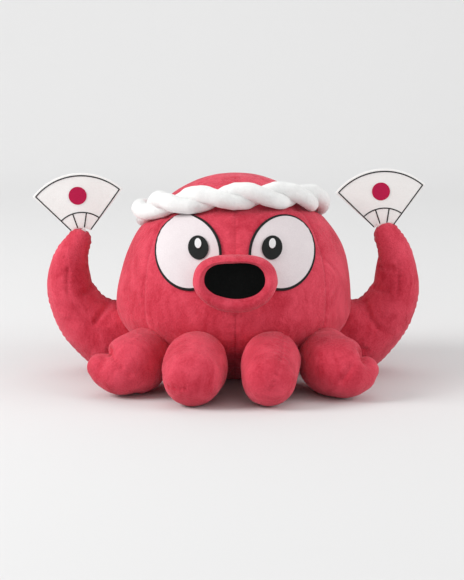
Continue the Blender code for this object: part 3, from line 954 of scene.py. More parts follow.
@dataclass(frozen=True)
class SatinStitch(Finish):
    """Close rows of thread, which follow the row numbers stored on the mesh.

    Attributes:
        thread: How high the rows' bump is.
    """

    thread: float = 0.00018

    def make(self) -> bpy.types.Material:
        """Builds the material.

        Returns:
            The material.
        """
        material, sheet, place = self.base()
        row = sheet.add("ShaderNodeAttribute", attribute_name="row").outputs["Fac"]
        fuzz = sheet.noise(place, scale=1400.0, detail=2.0)
        wave = sheet.math("SINE", sheet.math("MULTIPLY", row, math.tau))
        thread = sheet.math("MULTIPLY_ADD", wave, 0.5, 0.5)
        share = sheet.weighted((thread, 0.6), (fuzz, 0.4))
        self.close(sheet, self.between(sheet, share), share, self.thread)
        return material


class Wardrobe:
    """All the finishes of the toy, each made once.

    Attributes:
        red: The head's, the snout's and the limbs' velour.
        white_velour: The headband's.
        white_cloth: The whites of the eyes.
        black_cloth: The mouth.
        felt: The fans and their tabs.
        print_dark: The fans' lines.
        print_crimson: The fans' discs.
        fibre: The filling.
        pellets: The bag of pellets.
        black_thread: The eyes' edges and pupils.
        white_thread: The catchlights.
    """

    def __init__(self) -> None:
        """Makes the shared groups and the materials."""
        nap, weave = nap_group(), weave_group()
        self.red = Velour(
            "red_velour", light=(0.80, 0.082, 0.130), dark=(0.50, 0.020, 0.043),
            roughness=0.92, sheen=0.28, sheen_roughness=0.36, sheen_colour=(1.0, 0.62, 0.68),
            # seam: the colour of the painted shade down in the seams
            seam=(0.26, 0.008, 0.020), pile=0.00055,
        ).make(nap)
        self.white_velour = Velour(
            "white_velour", light=(0.88, 0.88, 0.87), dark=(0.76, 0.765, 0.76),
            # seam: the colour of painted seam shade, though the strands carry no seam mask
            roughness=0.92, sheen=0.25, seam=(0.55, 0.55, 0.54), pile=0.00035,
        ).make(nap)
        self.white_cloth = Cloth(
            "white_cloth", light=(0.76, 0.70, 0.712), dark=(0.67, 0.605, 0.62), sheen=0.08
        ).make(weave)
        self.black_cloth = Cloth(
            "black_cloth", light=(0.0050, 0.0056, 0.0054), dark=(0.0016, 0.0018, 0.0018),
            roughness=0.95, sheen=0.0, specular=0.06,
        ).make(weave)
        self.felt = Cloth(
            "white_felt", light=(0.90, 0.90, 0.885), dark=(0.84, 0.838, 0.82),
            roughness=0.92, sheen=0.08,
        ).make(weave)
        self.print_dark = Cloth(
            "dark_line", light=(0.030, 0.028, 0.030), dark=(0.014, 0.013, 0.014),
            roughness=0.8, sheen=0.0,
        ).make(weave)
        self.print_crimson = Cloth(
            "crimson_disc", light=(0.50, 0.010, 0.070), dark=(0.42, 0.006, 0.055),
            roughness=0.8, sheen=0.03,
        ).make(weave)
        self.fibre = Cloth(
            "filling_fibre", light=(0.90, 0.90, 0.88), dark=(0.74, 0.74, 0.72),
            roughness=1.0, thread=0.0006,
        ).make(weave)
        self.pellets = Cloth(
            "pellet_cloth", light=(0.72, 0.72, 0.69), dark=(0.55, 0.55, 0.52),
            roughness=0.95, sheen=0.05,
        ).make(weave)
        self.black_thread = SatinStitch(
            "black_thread", light=(0.022, 0.025, 0.024), dark=(0.005, 0.006, 0.006),
            roughness=0.6, sheen=0.0, specular=0.15,
        ).make()
        self.white_thread = SatinStitch(
            "white_thread", light=(0.90, 0.90, 0.90), dark=(0.70, 0.70, 0.71),
            roughness=0.5, sheen=0.05,
        ).make()

    @staticmethod
    def dress(obj: bpy.types.Object, material: bpy.types.Material, slot: str) -> None:
        """Gives a new piece its finish.

        Args:
            obj: The piece.
            material: The finish.
            slot: A name for the finish; not used.
        """
        obj.data.materials.clear()
        obj.data.materials.append(material)

    def dress_hidden(self) -> None:
        """Gives the CAD nodes that stay inside the covers their finishes."""
        inside = {"filling": self.fibre, "pellet_bag": self.pellets, "fan_tab": self.felt}
        for name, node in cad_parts.items():
            for word, material in inside.items():
                if word in name:
                    for slot in node.material_slots:
                        slot.material = material


# ---------------------------------------------------------------- head


@dataclass
class HeadForm:
    """The head's smooth form, which every sewn-on piece follows.

    Attributes:
        half_width: Half its greatest width.
        half_depth: Half its greatest depth.
        equator: The height at which it is widest.
        rise: From there to the crown.
        drop: From there to where the belly would close.
        fullness: How full the belly is.
    """

    half_width: float = 0.1006
    half_depth: float = 0.0920
    equator: float = 0.060
    rise: float = 0.116
    drop: float = 0.064
    fullness: float = 1.7

    def share(self, z: float) -> float:
        """The half width at this height, as a share of the greatest."""
        if z >= self.equator:
            up = min((z - self.equator) / self.rise, 1.0)
            return math.sqrt(1 - up * up)
        down = min((self.equator - z) / self.drop, 1.0)
        return (1 - down ** self.fullness) ** (1 / self.fullness)

    def at(self, azimuth: float, z: float) -> Vector:
        """The point of the surface at this azimuth and height."""
        out = toward(azimuth) * self.share(z)
        return Vector((out.x * self.half_width, out.y * self.half_depth, z))

    def normal(self, point: Vector) -> Vector:
        """The direction out of the surface at a point above the equator."""
        return Vector((
            point.x / self.half_width ** 2,
            point.y / self.half_depth ** 2,
            (point.z - self.equator) / self.rise ** 2,
        )).normalized()

    def profile(self, shrink: float, rings: int = 26) -> list[tuple[float, float]]:
        """The outline from the crown to the flat base.

        Args:
            shrink: How far it is drawn in.
            rings: How many points there are above the equator; below it there are half as many.

        Returns:
            Points of (half width, height).
        """
        points = [(0.0, self.equator + self.rise - shrink)]
        for step in range(1, rings + 1):
            angle = math.pi / 2 * (1 - step / rings)
            across = (self.half_width - shrink) * math.cos(angle)
            points.append((across, self.equator + (self.rise - shrink) * math.sin(angle)))
        for step in range(1, rings // 2 + 1):
            z = self.equator * (1 - step / (rings // 2))
            points.append((self.half_width * self.share(z) - shrink, z))
        points.append((0.0, 0.0))
        return points


@dataclass
class Head:
    """The stuffed head and body: four panels sewn together, with a dent under the headband.

    Attributes:
        form: The smooth form that it follows.
        looks: The toy's finishes.
        side_seam: The azimuth of the side seams low down, and how far they turn back higher up.
        seam_bend: How late that turn comes: 1 is evenly.
        shrink: How much smaller the cover is before it is stuffed.
        bulges: Where the filling pushes out: the place, its reach and the push.
        band_dent: How deep the headband presses in.
        hold: How far a seam holds the cloth.
        still: How freely the cloth moves at a seam.
        settled: The height above which the floor no longer holds the cloth.
    """

    form: HeadForm
    looks: Wardrobe
    side_seam: tuple[float, float] = (46.0, 16.0)
    seam_bend: float = 1.5
    shrink: float = 0.0007
    bulges: Sequence[tuple[Vector, float, Vector]] = (
        (Vector((0.096, -0.010, 0.120)), 0.033, Vector((0.0038, 0, 0.0006))),
        (Vector((-0.103, -0.010, 0.072)), 0.032, Vector((-0.0026, 0, 0))),
        (Vector((-0.088, -0.010, 0.126)), 0.026, Vector((-0.0012, 0, 0.0008))),
    )
    band_dent: float = 0.0032
    hold: float = 0.030
    still: float = 0.12
    settled: float = 0.020

    def seam_line(
        self, azimuth: float, turn: float, low: float, high: float, steps: int = 90
    ) -> list[Vector]:
        """A seam down the head.

        Args:
            azimuth: Where it runs low down.
            turn: How many degrees it turns towards its top.
            low: The height where it starts.
            high: The height where it ends.
            steps: How many parts its line has.

        Returns:
            Its points.
        """
        line = []
        for step in range(steps + 1):
            z = low + (high - low) * step / steps
            bend = turn * ((z - low) / (high - low)) ** self.seam_bend
            line.append(self.form.at(azimuth + bend, z))
        return line

    def seams(self) -> list[Seam]:
        """All the head's seams."""
        foot, side_foot = 0.004, 0.010
        crown = self.form.equator + self.form.rise - 0.0006
        seams = [
            Seam(self.seam_line(0, 0, foot, crown), depth=0.0010, width=0.0019),
            Seam(self.seam_line(180, 0, foot, crown), depth=0.0012),
        ]
        azimuth, turn = self.side_seam
        for side in Side:
            line = self.seam_line(side.value * azimuth, side.value * turn, side_foot, crown)
            seams.append(Seam(line, depth=0.0011, width=0.0020))
        return seams

    def build(self, band: "Headband") -> bpy.types.Object:
        """Models, stuffs and sews the head.

        Args:
            band: The headband that presses into it.

        Returns:
            The head's cover.
        """
        cover = spun("head_cushion", self.form.profile(self.shrink), 72)
        with editing(cover):
            flatter = (1, self.form.half_depth / self.form.half_width, 1)
            bpy.ops.transform.resize(value=flatter, center_override=(0, 0, 0))
        seams = self.seams()

        def give(points: np.ndarray) -> np.ndarray:
            """Little at the seams and the base, and freely between them."""
            lifted = np.clip(points[:, 2] / self.settled, 0, 1)
            return freedom(points, seams, self.hold, self.still) * lifted

        Stuffing(grid=0.0050, swell=0.0026, fill=0.85).into(cover, give)
        for centre, reach, push in self.bulges:
            swell(cover, centre, reach, push)
        rumple(cover, height=0.0005, size=0.034, seed=3.0)
        sew(cover, seams, seed=1.0)
        self.press_band(cover, band)
        smooth_shaded(cover)
        self.looks.dress(cover, self.looks.red, "velour")
        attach(cover, "head")
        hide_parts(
            "head_panel_front_left", "head_panel_front_right",
            "head_panel_back_left", "head_panel_back_right", "base_panel", "head_filling",
        )
        log.info("head: %d faces", len(cover.data.polygons))
        return cover

    def press_band(self, cover: bpy.types.Object, band: "Headband", steps: int = 240) -> None:
        """Presses the headband's bed into the cover.

        Args:
            cover: The head's cover.
            band: The headband.
            steps: How many points of the bed are looked at.
        """
        bed = Seam([band.frame_at(step / steps)[0] for step in range(steps)])
        points = points_of(cover)
        far, _ = bed.nearest(points)
        depth = self.band_dent * np.exp(-((far / band.bed_width) ** 4))
        place_points(cover, points - normals_of(cover) * depth[:, None])


# ---------------------------------------------------------------- headband


@dataclass
class Headband:
    """Two stuffed strands twisted round the crown, tilted down at the front.

    Attributes:
        form: The head's form, which it lies on.
        looks: The toy's finishes.
        height: Its height at the middle of the head.
        front_rise: How much it rises towards the front, for each unit of depth.
        side_rise: How much it rises towards the right.
        thick: The radius of a strand.
        swing: How far a strand runs from the band's middle.
        twists: How often each strand goes round the other.
        stand_off: How far the band's middle stands off the head.
        bed_width: How wide a bed it presses into the head.
        turn: Where the twist starts, as a share of one turn.
        outward_swing: The swing away from the head, as a share of the swing.
        aside_swing: The swing up and down over the head, as a share of the swing.
        fuller: How much fuller a strand is where it lies on top.
        gathers: How much its thickness varies from gather to gather.
        gather_rate: How many gathers come in one twist.
    """

    form: HeadForm
    looks: Wardrobe
    height: float = 0.1444
    front_rise: float = 0.250
    side_rise: float = 0.062
    thick: float = 0.0068
    swing: float = 0.0050
    twists: int = 5
    stand_off: float = 0.0052
    bed_width: float = 0.0105
    turn: float = 0.30
    outward_swing: float = 0.86
    aside_swing: float = 1.12
    fuller: float = 0.10
    gathers: float = 0.04
    gather_rate: float = 5.3

    def on_head(self, share: float) -> Vector:
        """The point of the head under the band, at this share of the way round from the front."""
        around = math.tau * share
        z = self.height
        for _ in range(30):  # each round brings the height nearer to the band's tilt
            width = self.form.share(z)
            x = self.form.half_width * width * math.sin(around)
            y = -self.form.half_depth * width * math.cos(around)
            z = self.height - self.front_rise * y + self.side_rise * x
        return Vector((x, y, z))

    def frame_at(self, share: float) -> tuple[Vector, Vector, Vector]:
        """The head's point, the way out of it, and the way across the band.

        Args:
            share: How far round from the front, from 0 to 1.

        Returns:
            The point and the two directions.
        """
        place = self.on_head(share)
        near = 0.002
        along = (self.on_head(share + near) - self.on_head(share - near)).normalized()
        outward = self.form.normal(place)
        return place, outward, along.cross(outward)

    def strand(self, index: int, count: int = 220) -> bpy.types.Object:
        """One strand, with soft gathers where it dives under the other.

        Args:
            index: 0 for the first strand, 1 for the second.
            count: How many stations its path has.

        Returns:
            The strand, not yet stuffed.
        """
        stations = []
        for step in range(count):
            share = step / count
            place, outward, aside = self.frame_at(share)
            angle = math.tau * (self.twists * share + self.turn) + math.pi * index
            centre = place + outward * self.stand_off
            offset = self.outward_swing * math.cos(angle) * outward
            offset += self.aside_swing * math.sin(angle) * aside
            gather = self.gathers * math.sin(self.gather_rate * angle + index)
            radius = self.thick * (1.0 + self.fuller * math.cos(angle) + gather)
            stations.append((*(centre + self.swing * offset), radius))
        return tube(f"headband_twist_{'ab'[index]}", stations, 20, ring=True)

    def build(self) -> list[bpy.types.Object]:
        """Models both strands.

        Returns:
            The strands.
        """
        made = []
        for index, letter in enumerate("ab"):
            strand = self.strand(index)
            Stuffing(grid=0.0032, swell=0.0010, fine=1, fill=0.7).into(strand)
            rumple(strand, height=0.00045, size=0.011, seed=7.0 + index)
            mark(strand, "seam", np.zeros(len(strand.data.vertices)))
            smooth_shaded(strand)
            self.looks.dress(strand, self.looks.white_velour, "white_velour")
            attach(strand, "head")
            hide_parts(f"headband_strand_{letter}")
            made.append(strand)
        log.info("headband: %d strands", len(made))
        return made


# ---------------------------------------------------------------- face


@dataclass
class Snout:
    """A stuffed oval tube with a rolled lip, and the black mouth in it.

    Attributes:
        looks: The toy's finishes.
        half_width: Half its outer width.
        half_height: Half its outer height.
        height: The height of its middle.
        front: How far forward its lip is.
        length: How long it is.
        mouth: Half the width and half the height of the mouth.
        mouth_raise: How far the mouth sits above the middle.
        mouth_back: How far the mouth's cloth lies behind the lip.
        mouth_hollow: How much further back it is in its middle.
        squareness: How broad the upper corners are, from 0 for a plain oval.
        shoulder: How far below the middle they begin, as the sine of an angle.
        taper: How much narrower the chin is.
        chin_round: How soon the chin narrows.
    """

    looks: Wardrobe
    half_width: float = 0.0346
    half_height: float = 0.0238
    height: float = 0.0972
    front: float = 0.1150
    length: float = 0.0420
    mouth: tuple[float, float] = (0.0250, 0.0149)
    mouth_raise: float = 0.0032
    mouth_back: float = 0.0034
    mouth_hollow: float = 0.0016
    squareness: float = 0.8
    shoulder: float = 0.15
    taper: float = 0.085
    chin_round: float = 1.4

    def ovals(self) -> tuple[Station, ...]:
        """The ring's ovals, from inside the head over the lip to the floor of the mouth.

        Returns:
            Half the width, half the height, how far up and how far forward of the lip.
        """
        mouth_width, mouth_height = self.mouth
        return (
            (self.half_width - 0.0048, self.half_height - 0.0036, -0.0015, -self.length),
            (self.half_width - 0.0030, self.half_height - 0.0022, -0.0008, -0.66 * self.length),
            (self.half_width - 0.0008, self.half_height - 0.0006, 0.0, -0.34 * self.length),
            (self.half_width, self.half_height, 0.0, -0.0084),
            (self.half_width - 0.0020, self.half_height - 0.0018, 0.0004, -0.0032),
            (self.half_width - 0.0052, self.half_height - 0.0044, 0.0008, -0.0006),
            (mouth_width + 0.0034, mouth_height + 0.0030, 0.6 * self.mouth_raise, 0.0),
            (mouth_width + 0.0012, mouth_height + 0.0010, 0.85 * self.mouth_raise, -0.0014),
            (mouth_width - 0.0002, mouth_height - 0.0002, self.mouth_raise, -0.0042),
            (0.55 * mouth_width, 0.55 * mouth_height, self.mouth_raise, -0.0064),
        )

    def ring(self) -> bpy.types.Object:
        """The ring round the mouth, each oval extruded from the one before."""
        deselect()
        bpy.ops.mesh.primitive_circle_add(vertices=48, radius=1.0, rotation=(math.pi / 2, 0, 0))
        obj = bpy.context.object
        obj.name = "snout_cushion"
        apply_all(obj)
        middle = Vector((0, 0, self.height))
        last_width, last_height, last_raise, last_forward = 1.0, 1.0, 0.0, 0.0
        with editing(obj):
            bpy.ops.transform.translate(value=middle)
            for index, (width, height, lift, forward) in enumerate(self.ovals()):
                if index:
                    bpy.ops.mesh.extrude_region_move(TRANSFORM_OT_translate={"value": (0, 0, 0)})
                centre = middle + Vector((0, last_forward, last_raise))
                growth = (width / last_width, 1, height / last_height)
                bpy.ops.transform.resize(value=growth, center_override=centre)
                place = -(self.front + forward)
                bpy.ops.transform.translate(value=(0, place - last_forward, lift - last_raise))
                last_width, last_height, last_raise, last_forward = width, height, lift, place
            bpy.ops.mesh.edge_face_add()
            bpy.ops.mesh.select_all(action="SELECT")
            bpy.ops.mesh.normals_make_consistent(inside=False)
        return obj

    def squared(self, obj: bpy.types.Object) -> None:
        """Broadens the upper corners of a piece of the snout, and narrows its chin.

        Args:
            obj: The ring or the mouth.
        """
        points = points_of(obj)
        across, up = points[:, 0], points[:, 2] - self.height
        angle = np.arctan2(up / self.half_height, across / self.half_width)
        power = 2.0 + self.squareness * np.clip(np.sin(angle) + self.shoulder, 0, 1)
        reach = np.abs(np.cos(angle)) ** power + np.abs(np.sin(angle)) ** power
        grown = reach ** (-1 / power)
        chin = np.clip(-up / self.half_height, 0, 1)
        points[:, 0] = across * grown * (1 - self.taper * chin * (self.chin_round - chin))
        points[:, 2] = self.height + up * grown
        place_points(obj, points)

    def build(self) -> list[bpy.types.Object]:
        """Models the ring and the mouth.

        Returns:
            The ring and the mouth.
        """
        ring = self.ring()
        subdivide_smoothly(ring, 3)
        self.squared(ring)
        rumple(ring, height=0.0004, size=0.016, seed=11.0)
        mark(ring, "seam", np.zeros(len(ring.data.vertices)))
        smooth_shaded(ring)
        self.looks.dress(ring, self.looks.red, "velour")
        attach(ring, "head")
        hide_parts("snout_cover", "snout_filling")
        mouth = self.mouth_cloth()
        log.info("snout and mouth")
        return [ring, mouth]

    def mouth_cloth(self) -> bpy.types.Object:
        """The black cloth behind the lip, a little wider than the opening."""
        size = [half + MILLIMETRE for half in self.mouth]
        mouth = disc("mouth_cloth", 0.0, self.height + self.mouth_raise, *size, 14)
        points = points_of(mouth)
        up = (points[:, 2] - self.height - self.mouth_raise) / self.mouth[1]
        spread = np.clip(np.hypot(points[:, 0] / self.mouth[0], up), 0, 1)
        points[:, 1] = self.mouth_back - self.front + self.mouth_hollow * (1 - spread ** 2)
        place_points(mouth, points)
        self.squared(mouth)
        add_modifier(mouth, "SOLIDIFY", thickness=0.0010, offset=-1.0)
        apply_all(mouth)
        smooth_shaded(mouth, 50)
        self.looks.dress(mouth, self.looks.black_cloth, "black_cloth")
        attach(mouth, "head")
        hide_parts("mouth_patch")
        return mouth


# How far above the head each piece of an eye lies, and how thick it is.
WHITE_LAYER, PUPIL_LAYER, GLINT_LAYER = (0.0006, 0.0008), (0.0016, 0.0008), (0.0026, 0.0006)


@dataclass
class Eye:
    """An oval of white cloth with an embroidered edge, pupil and catchlight.

    Attributes:
        side: Which eye it is.
        looks: The toy's finishes.
        spacing: How far its middle is from the head's middle.
        height: The height of its middle.
        half_width: Half its width.
        half_height: Half its height.
        pupil_spacing: How far the pupil's middle is from the head's middle.
        pupil_height: The height of the pupil's middle.
        pupil: Half the pupil's width and half its height.
        glint: Half the catchlight's width and half its height.
        glint_raise: How far the catchlight sits above the pupil's middle.
        edge_radius: The radius of the stitched edge.
        edge_lift: How far its middle lies in front of the head's surface.
        edge_out: How far its middle lies outside the oval.
    """

    side: Side
    looks: Wardrobe
    spacing: float = 0.0387
    height: float = 0.1168
    half_width: float = 0.0265
    half_height: float = 0.0280
    pupil_spacing: float = 0.0295
    pupil_height: float = 0.1210
    pupil: tuple[float, float] = (0.0082, 0.0090)
    glint: tuple[float, float] = (0.0026, 0.0037)
    glint_raise: float = 0.003
    edge_radius: float = 0.00125
    edge_lift: float = 0.0008
    edge_out: float = 0.0002

    def lay(self, obj: bpy.types.Object, head: bpy.types.Object, lift: float, thick: float) -> None:
        """Lays a flat piece on the head and gives it its thickness.

        Args:
            obj: The flat piece, in front of the head.
            head: The head's cover.
            lift: How far above the head it lies.
            thick: Its thickness.
        """
        wrap = add_modifier(obj, "SHRINKWRAP", target=head, wrap_method="PROJECT", offset=lift)
        wrap.wrap_mode = "ABOVE_SURFACE"
        wrap.use_project_y = True
        wrap.use_positive_direction = True
        wrap.use_negative_direction = False
        add_modifier(obj, "SOLIDIFY", thickness=thick, offset=1.0)
        apply_all(obj)

    def spot(
        self, name: str, half: tuple[float, float], x: float, z: float, rings: int
    ) -> bpy.types.Object:
        """An oval in front of the head, to be laid on it.

        Args:
            name: Its name, after the side's.
            half: Half its width and half its height.
            x: Its middle across.
            z: Its middle's height.
            rings: How many rings of faces it has.

        Returns:
            The oval.
        """
        obj = disc(f"{self.side.word}_{name}", x, z, *half, rings)
        with editing(obj):
            bpy.ops.transform.translate(value=(0, -IN_FRONT / 2, 0))
        return obj

    def finish(
        self, obj: bpy.types.Object, material: bpy.types.Material, slot: str, node: str
    ) -> None:
        """Dresses a sewn piece and puts it on the head's body.

        Args:
            obj: The piece.
            material: Its finish.
            slot: A name for the finish.
            node: The CAD node that it stands for, after the side's name.
        """
        smooth_shaded(obj, 60)
        self.looks.dress(obj, material, slot)
        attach(obj, "head")
        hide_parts(f"{self.side.word}_{node}")

    def edge(self, head: bpy.types.Object, count: int = 120) -> bpy.types.Object:
        """The satin-stitched edge: a low round cord along the oval.

        Args:
            head: The head's cover.
            count: How many stations the cord's path has.

        Returns:
            The edge, with its rows of thread numbered.
        """
        middle = self.side.value * self.spacing
        front = front_of(head)
        stations = []
        for step in range(count):
            angle = math.tau * step / count
            x = middle + (self.half_width + self.edge_out) * math.cos(angle)
            z = self.height + (self.half_height + self.edge_out) * math.sin(angle)
            stations.append((x, front(x, z) - self.edge_lift, z, self.edge_radius))
        obj = tube(f"{self.side.word}_eye_edge", stations, 12, ring=True)
        points = points_of(obj)
        across = (points[:, 0] - middle) / self.half_width
        up = (points[:, 2] - self.height) / self.half_height
        length = math.pi * (self.half_width + self.half_height)
        mark(obj, "row", np.arctan2(up, across) / math.tau * round(length / THREAD_PITCH))
        return obj

    def build(self, head: bpy.types.Object) -> list[bpy.types.Object]:
        """Models all the pieces of the eye.

        Args:
            head: The head's cover.

        Returns:
            The pieces.
        """
        middle = self.side.value * self.spacing
        half = (self.half_width, self.half_height)
        white = self.spot("eye_cloth", half, middle, self.height, 14)
        self.lay(white, head, *WHITE_LAYER)
        self.finish(white, self.looks.white_cloth, "white_cloth", "eye_white")
        edge = self.edge(head)
        self.finish(edge, self.looks.black_thread, "black_thread", "eye_outline")
        middle = self.side.value * self.pupil_spacing
        pupil = self.spot("pupil", self.pupil, middle, self.pupil_height, 8)
        self.lay(pupil, head, *PUPIL_LAYER)
        mark(pupil, "row", points_of(pupil)[:, 2] / THREAD_PITCH)
        self.finish(pupil, self.looks.black_thread, "black_thread", "eye_pupil")
        raised = self.pupil_height + self.glint_raise
        glint = self.spot("catchlight", self.glint, middle, raised, 4)
        self.lay(glint, head, *GLINT_LAYER)
        mark(glint, "row", points_of(glint)[:, 2] / THREAD_PITCH)
        self.finish(glint, self.looks.white_thread, "white_thread", "eye_catchlight")
        log.info("%s eye", self.side.word)
        return [white, edge, pupil, glint]


# ---------------------------------------------------------------- limbs


ROOT_SHARES = (-0.80, -0.62, -0.35, 0.0)  # the root's rings inside the head, in radii
DOME_ANGLES = (15, 30, 45, 60, 72, 82, 88)  # the tip's rings, in degrees
RINGS_PER_STATION = 9
LEVEL = 0.2  # a path steeper than this has no top of its own
FOLD_LEAN = 2  # how many rings further along a fold ends than it starts


@dataclass
class Limb:
    """A stuffed limb: a tapering tube with a rounded tip, sewn to the head at its root.

    Attributes:
        name: The limb's name, which is its body's name too.
        root: The middle of its hinge.
        root_radius: The radius there.
        path: Its middle line as (x, y, z, radius) in millimetres, from just past the root on.
        looks: The toy's finishes.
        seam_turns: Where its seams run round it, in degrees from the top.
        stuffing: How it is filled.
        blend_reach: Where it would leave the head and where it would be its own, in radii from the
            root; not used.
        blunt: How far its tip's dome stands out, in radii.
        shrink: How much smaller the cover is before it is stuffed.
        seed: Varies its gathers and its unevenness.
        folds: Soft folds round it: how far along it is, and the turns it runs between.
        fold_depth: How deep they are.
        creases: Places near each of its creases, in millimetres.
        crease_depth: How deep they are.
        crease_width: How wide they are.
        hold: How far a seam holds the cloth.
        still: How freely the cloth moves at a seam.
        freed: How far from the root the cloth begins to move, in radii.
    """

    name: str
    root: Place
    root_radius: float
    path: Sequence[Station]
    looks: Wardrobe
    seam_turns: Sequence[float] = (90.0,)
    stuffing: Stuffing = field(default_factory=lambda: Stuffing(grid=0.0042, swell=0.0022))
    blend_reach: tuple[float, float] = (-0.5, 0.6)
    blunt: float = 0.92
    shrink: float = 0.0006
    seed: float = 0.0
    folds: Sequence[tuple[float, float, float]] = ()
    fold_depth: float = 0.0011
    creases: Sequence[Sequence[Place]] = ()
    crease_depth: float = 0.0019
    crease_width: float = 0.0027
    hold: float = 0.014
    still: float = 0.15
    freed: float = 0.6

    def outward(self) -> Vector:
        """The way from the root along the limb."""
        first = Vector(self.path[0][:3]) * MILLIMETRE
        return (first - Vector(self.root)).normalized()

    def stations(self, shrink: float) -> list[Station]:
        """The limb's rings: a rounded root inside the head, the path, and a domed tip.

        Args:
            shrink: How much smaller they are than the stuffed limb.

        Returns:
            The rings.
        """
        path = [Vector(station) * MILLIMETRE for station in self.path]
        root, outward = Vector(self.root), self.outward()
        made = []
        for share in ROOT_SHARES:
            radius = self.root_radius * math.sqrt(1 - share * share)
            made.append((*(root + outward * self.root_radius * share), radius - shrink))
        lead = [Vector((*root, self.root_radius)), *path]
        count = RINGS_PER_STATION * (len(lead) - 1)
        for step in range(1, count + 1):
            place = through(lead, step / count)
            made.append((*place.xyz, place.w - shrink))
        end = Vector(made[-1])
        onward = (end.xyz - Vector(made[-4]).xyz).normalized()
        for degrees in DOME_ANGLES:
            dome = math.radians(degrees)
            middle = end.xyz + onward * end.w * self.blunt * math.sin(dome)
            made.append((*middle, end.w * math.cos(dome)))
        return made

    def on_skin(self, stations: Sequence[Station], index: int, turn: float) -> Vector:
        """A point of the skin.

        Args:
            stations: The limb's rings.
            index: Which of them it is on.
            turn: How many degrees round it, from the top.

        Returns:
            The point.
        """
        station = Vector(stations[index])
        after = Vector(stations[min(index + 1, len(stations) - 1)]).xyz
        before = Vector(stations[max(index - 1, 0)]).xyz
        along = (after - before).normalized()
        across = along.cross(Vector((0, 0, 1)))
        if across.length < LEVEL:
            across = along.cross(Vector((0, 1, 0)))
        across.normalize()
        up = across.cross(along)
        angle = math.radians(turn)
        return station.xyz + station.w * (up * math.cos(angle) + across * math.sin(angle))

    def seam_along(self, turn: float) -> Seam:
        """A seam along the limb, this many degrees round it from the top."""
        stations = self.stations(0.0)[len(ROOT_SHARES) - 1:-1]
        line = [self.on_skin(stations, index, turn) for index in range(len(stations))]
        return Seam(line, depth=0.0011, width=0.0018, pucker=0.00045, gather=0.0052)

    def fold(self, share: float, start: float, end: float, steps: int = 12) -> Seam:
        """A soft fold round part of the limb.

        Args:
            share: How far along the limb it starts, from 0 to 1.
            start: The turn where it starts, in degrees from the top.
            end: The turn where it ends.
            steps: How many parts its line has.

        Returns:
            The fold.
        """
        stations = self.stations(0.0)
        index = round(share * (len(stations) - 1))
        line = []
        for step in range(steps + 1):
            turn = start + (end - start) * step / steps
            line.append(self.on_skin(stations, index + FOLD_LEAN * step // steps, turn))
        return Seam(line, depth=self.fold_depth, width=0.0038, pucker=0.0, stitched=False)

    def crease(
        self, cover: bpy.types.Object, points: Sequence[Place], steps: int = 30
    ) -> Seam:
        """A crease over the cover's skin.

        Args:
            cover: The stuffed cover.
            points: Places near the crease, in millimetres.
            steps: How many parts its line has.

        Returns:
            The crease.
        """
        near = [Vector((*point, 0.0)) * MILLIMETRE for point in points]
        line = [through(near, step / steps).xyz for step in range(steps + 1)]
        line = [cover.closest_point_on_mesh(point)[1].copy() for point in line]
        return Seam(
            line, depth=self.crease_depth, width=self.crease_width, pucker=0.0, stitched=False
        )

    def build(self) -> bpy.types.Object:
        """Models, stuffs and sews the limb.

        Returns:
            The limb's cover.
        """
        cover = tube(f"{self.name}_cushion", self.stations(self.shrink), 24)
        seams = [self.seam_along(turn) for turn in self.seam_turns]
        root = np.array(self.root)

        def give(points: np.ndarray) -> np.ndarray:
            """Little at the seams and inside the head, and freely between them."""
            out = np.linalg.norm(points - root, axis=1) / self.root_radius
            return freedom(points, seams, self.hold, self.still) * np.clip(out - self.freed, 0, 1)

        self.stuffing.into(cover, give)
        rumple(cover, height=0.0005, size=0.022, seed=20.0 + self.seed)
        folds = [self.fold(*place) for place in self.folds]
        folds += [self.crease(cover, points) for points in self.creases]
        sew(cover, [*seams, *folds], seed=30.0 + self.seed)
        sit_down(cover)
        smooth_shaded(cover)
        self.looks.dress(cover, self.looks.red, "velour")
        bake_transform(cover)
        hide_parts(f"{self.name}_cover", f"{self.name}_filling")
        log.info("%s: %d faces", self.name, len(cover.data.polygons))
        return cover


# ---------------------------------------------------------------- fans


ON_FELT = 0.00012  # from the felt's face to the middle of a line on it


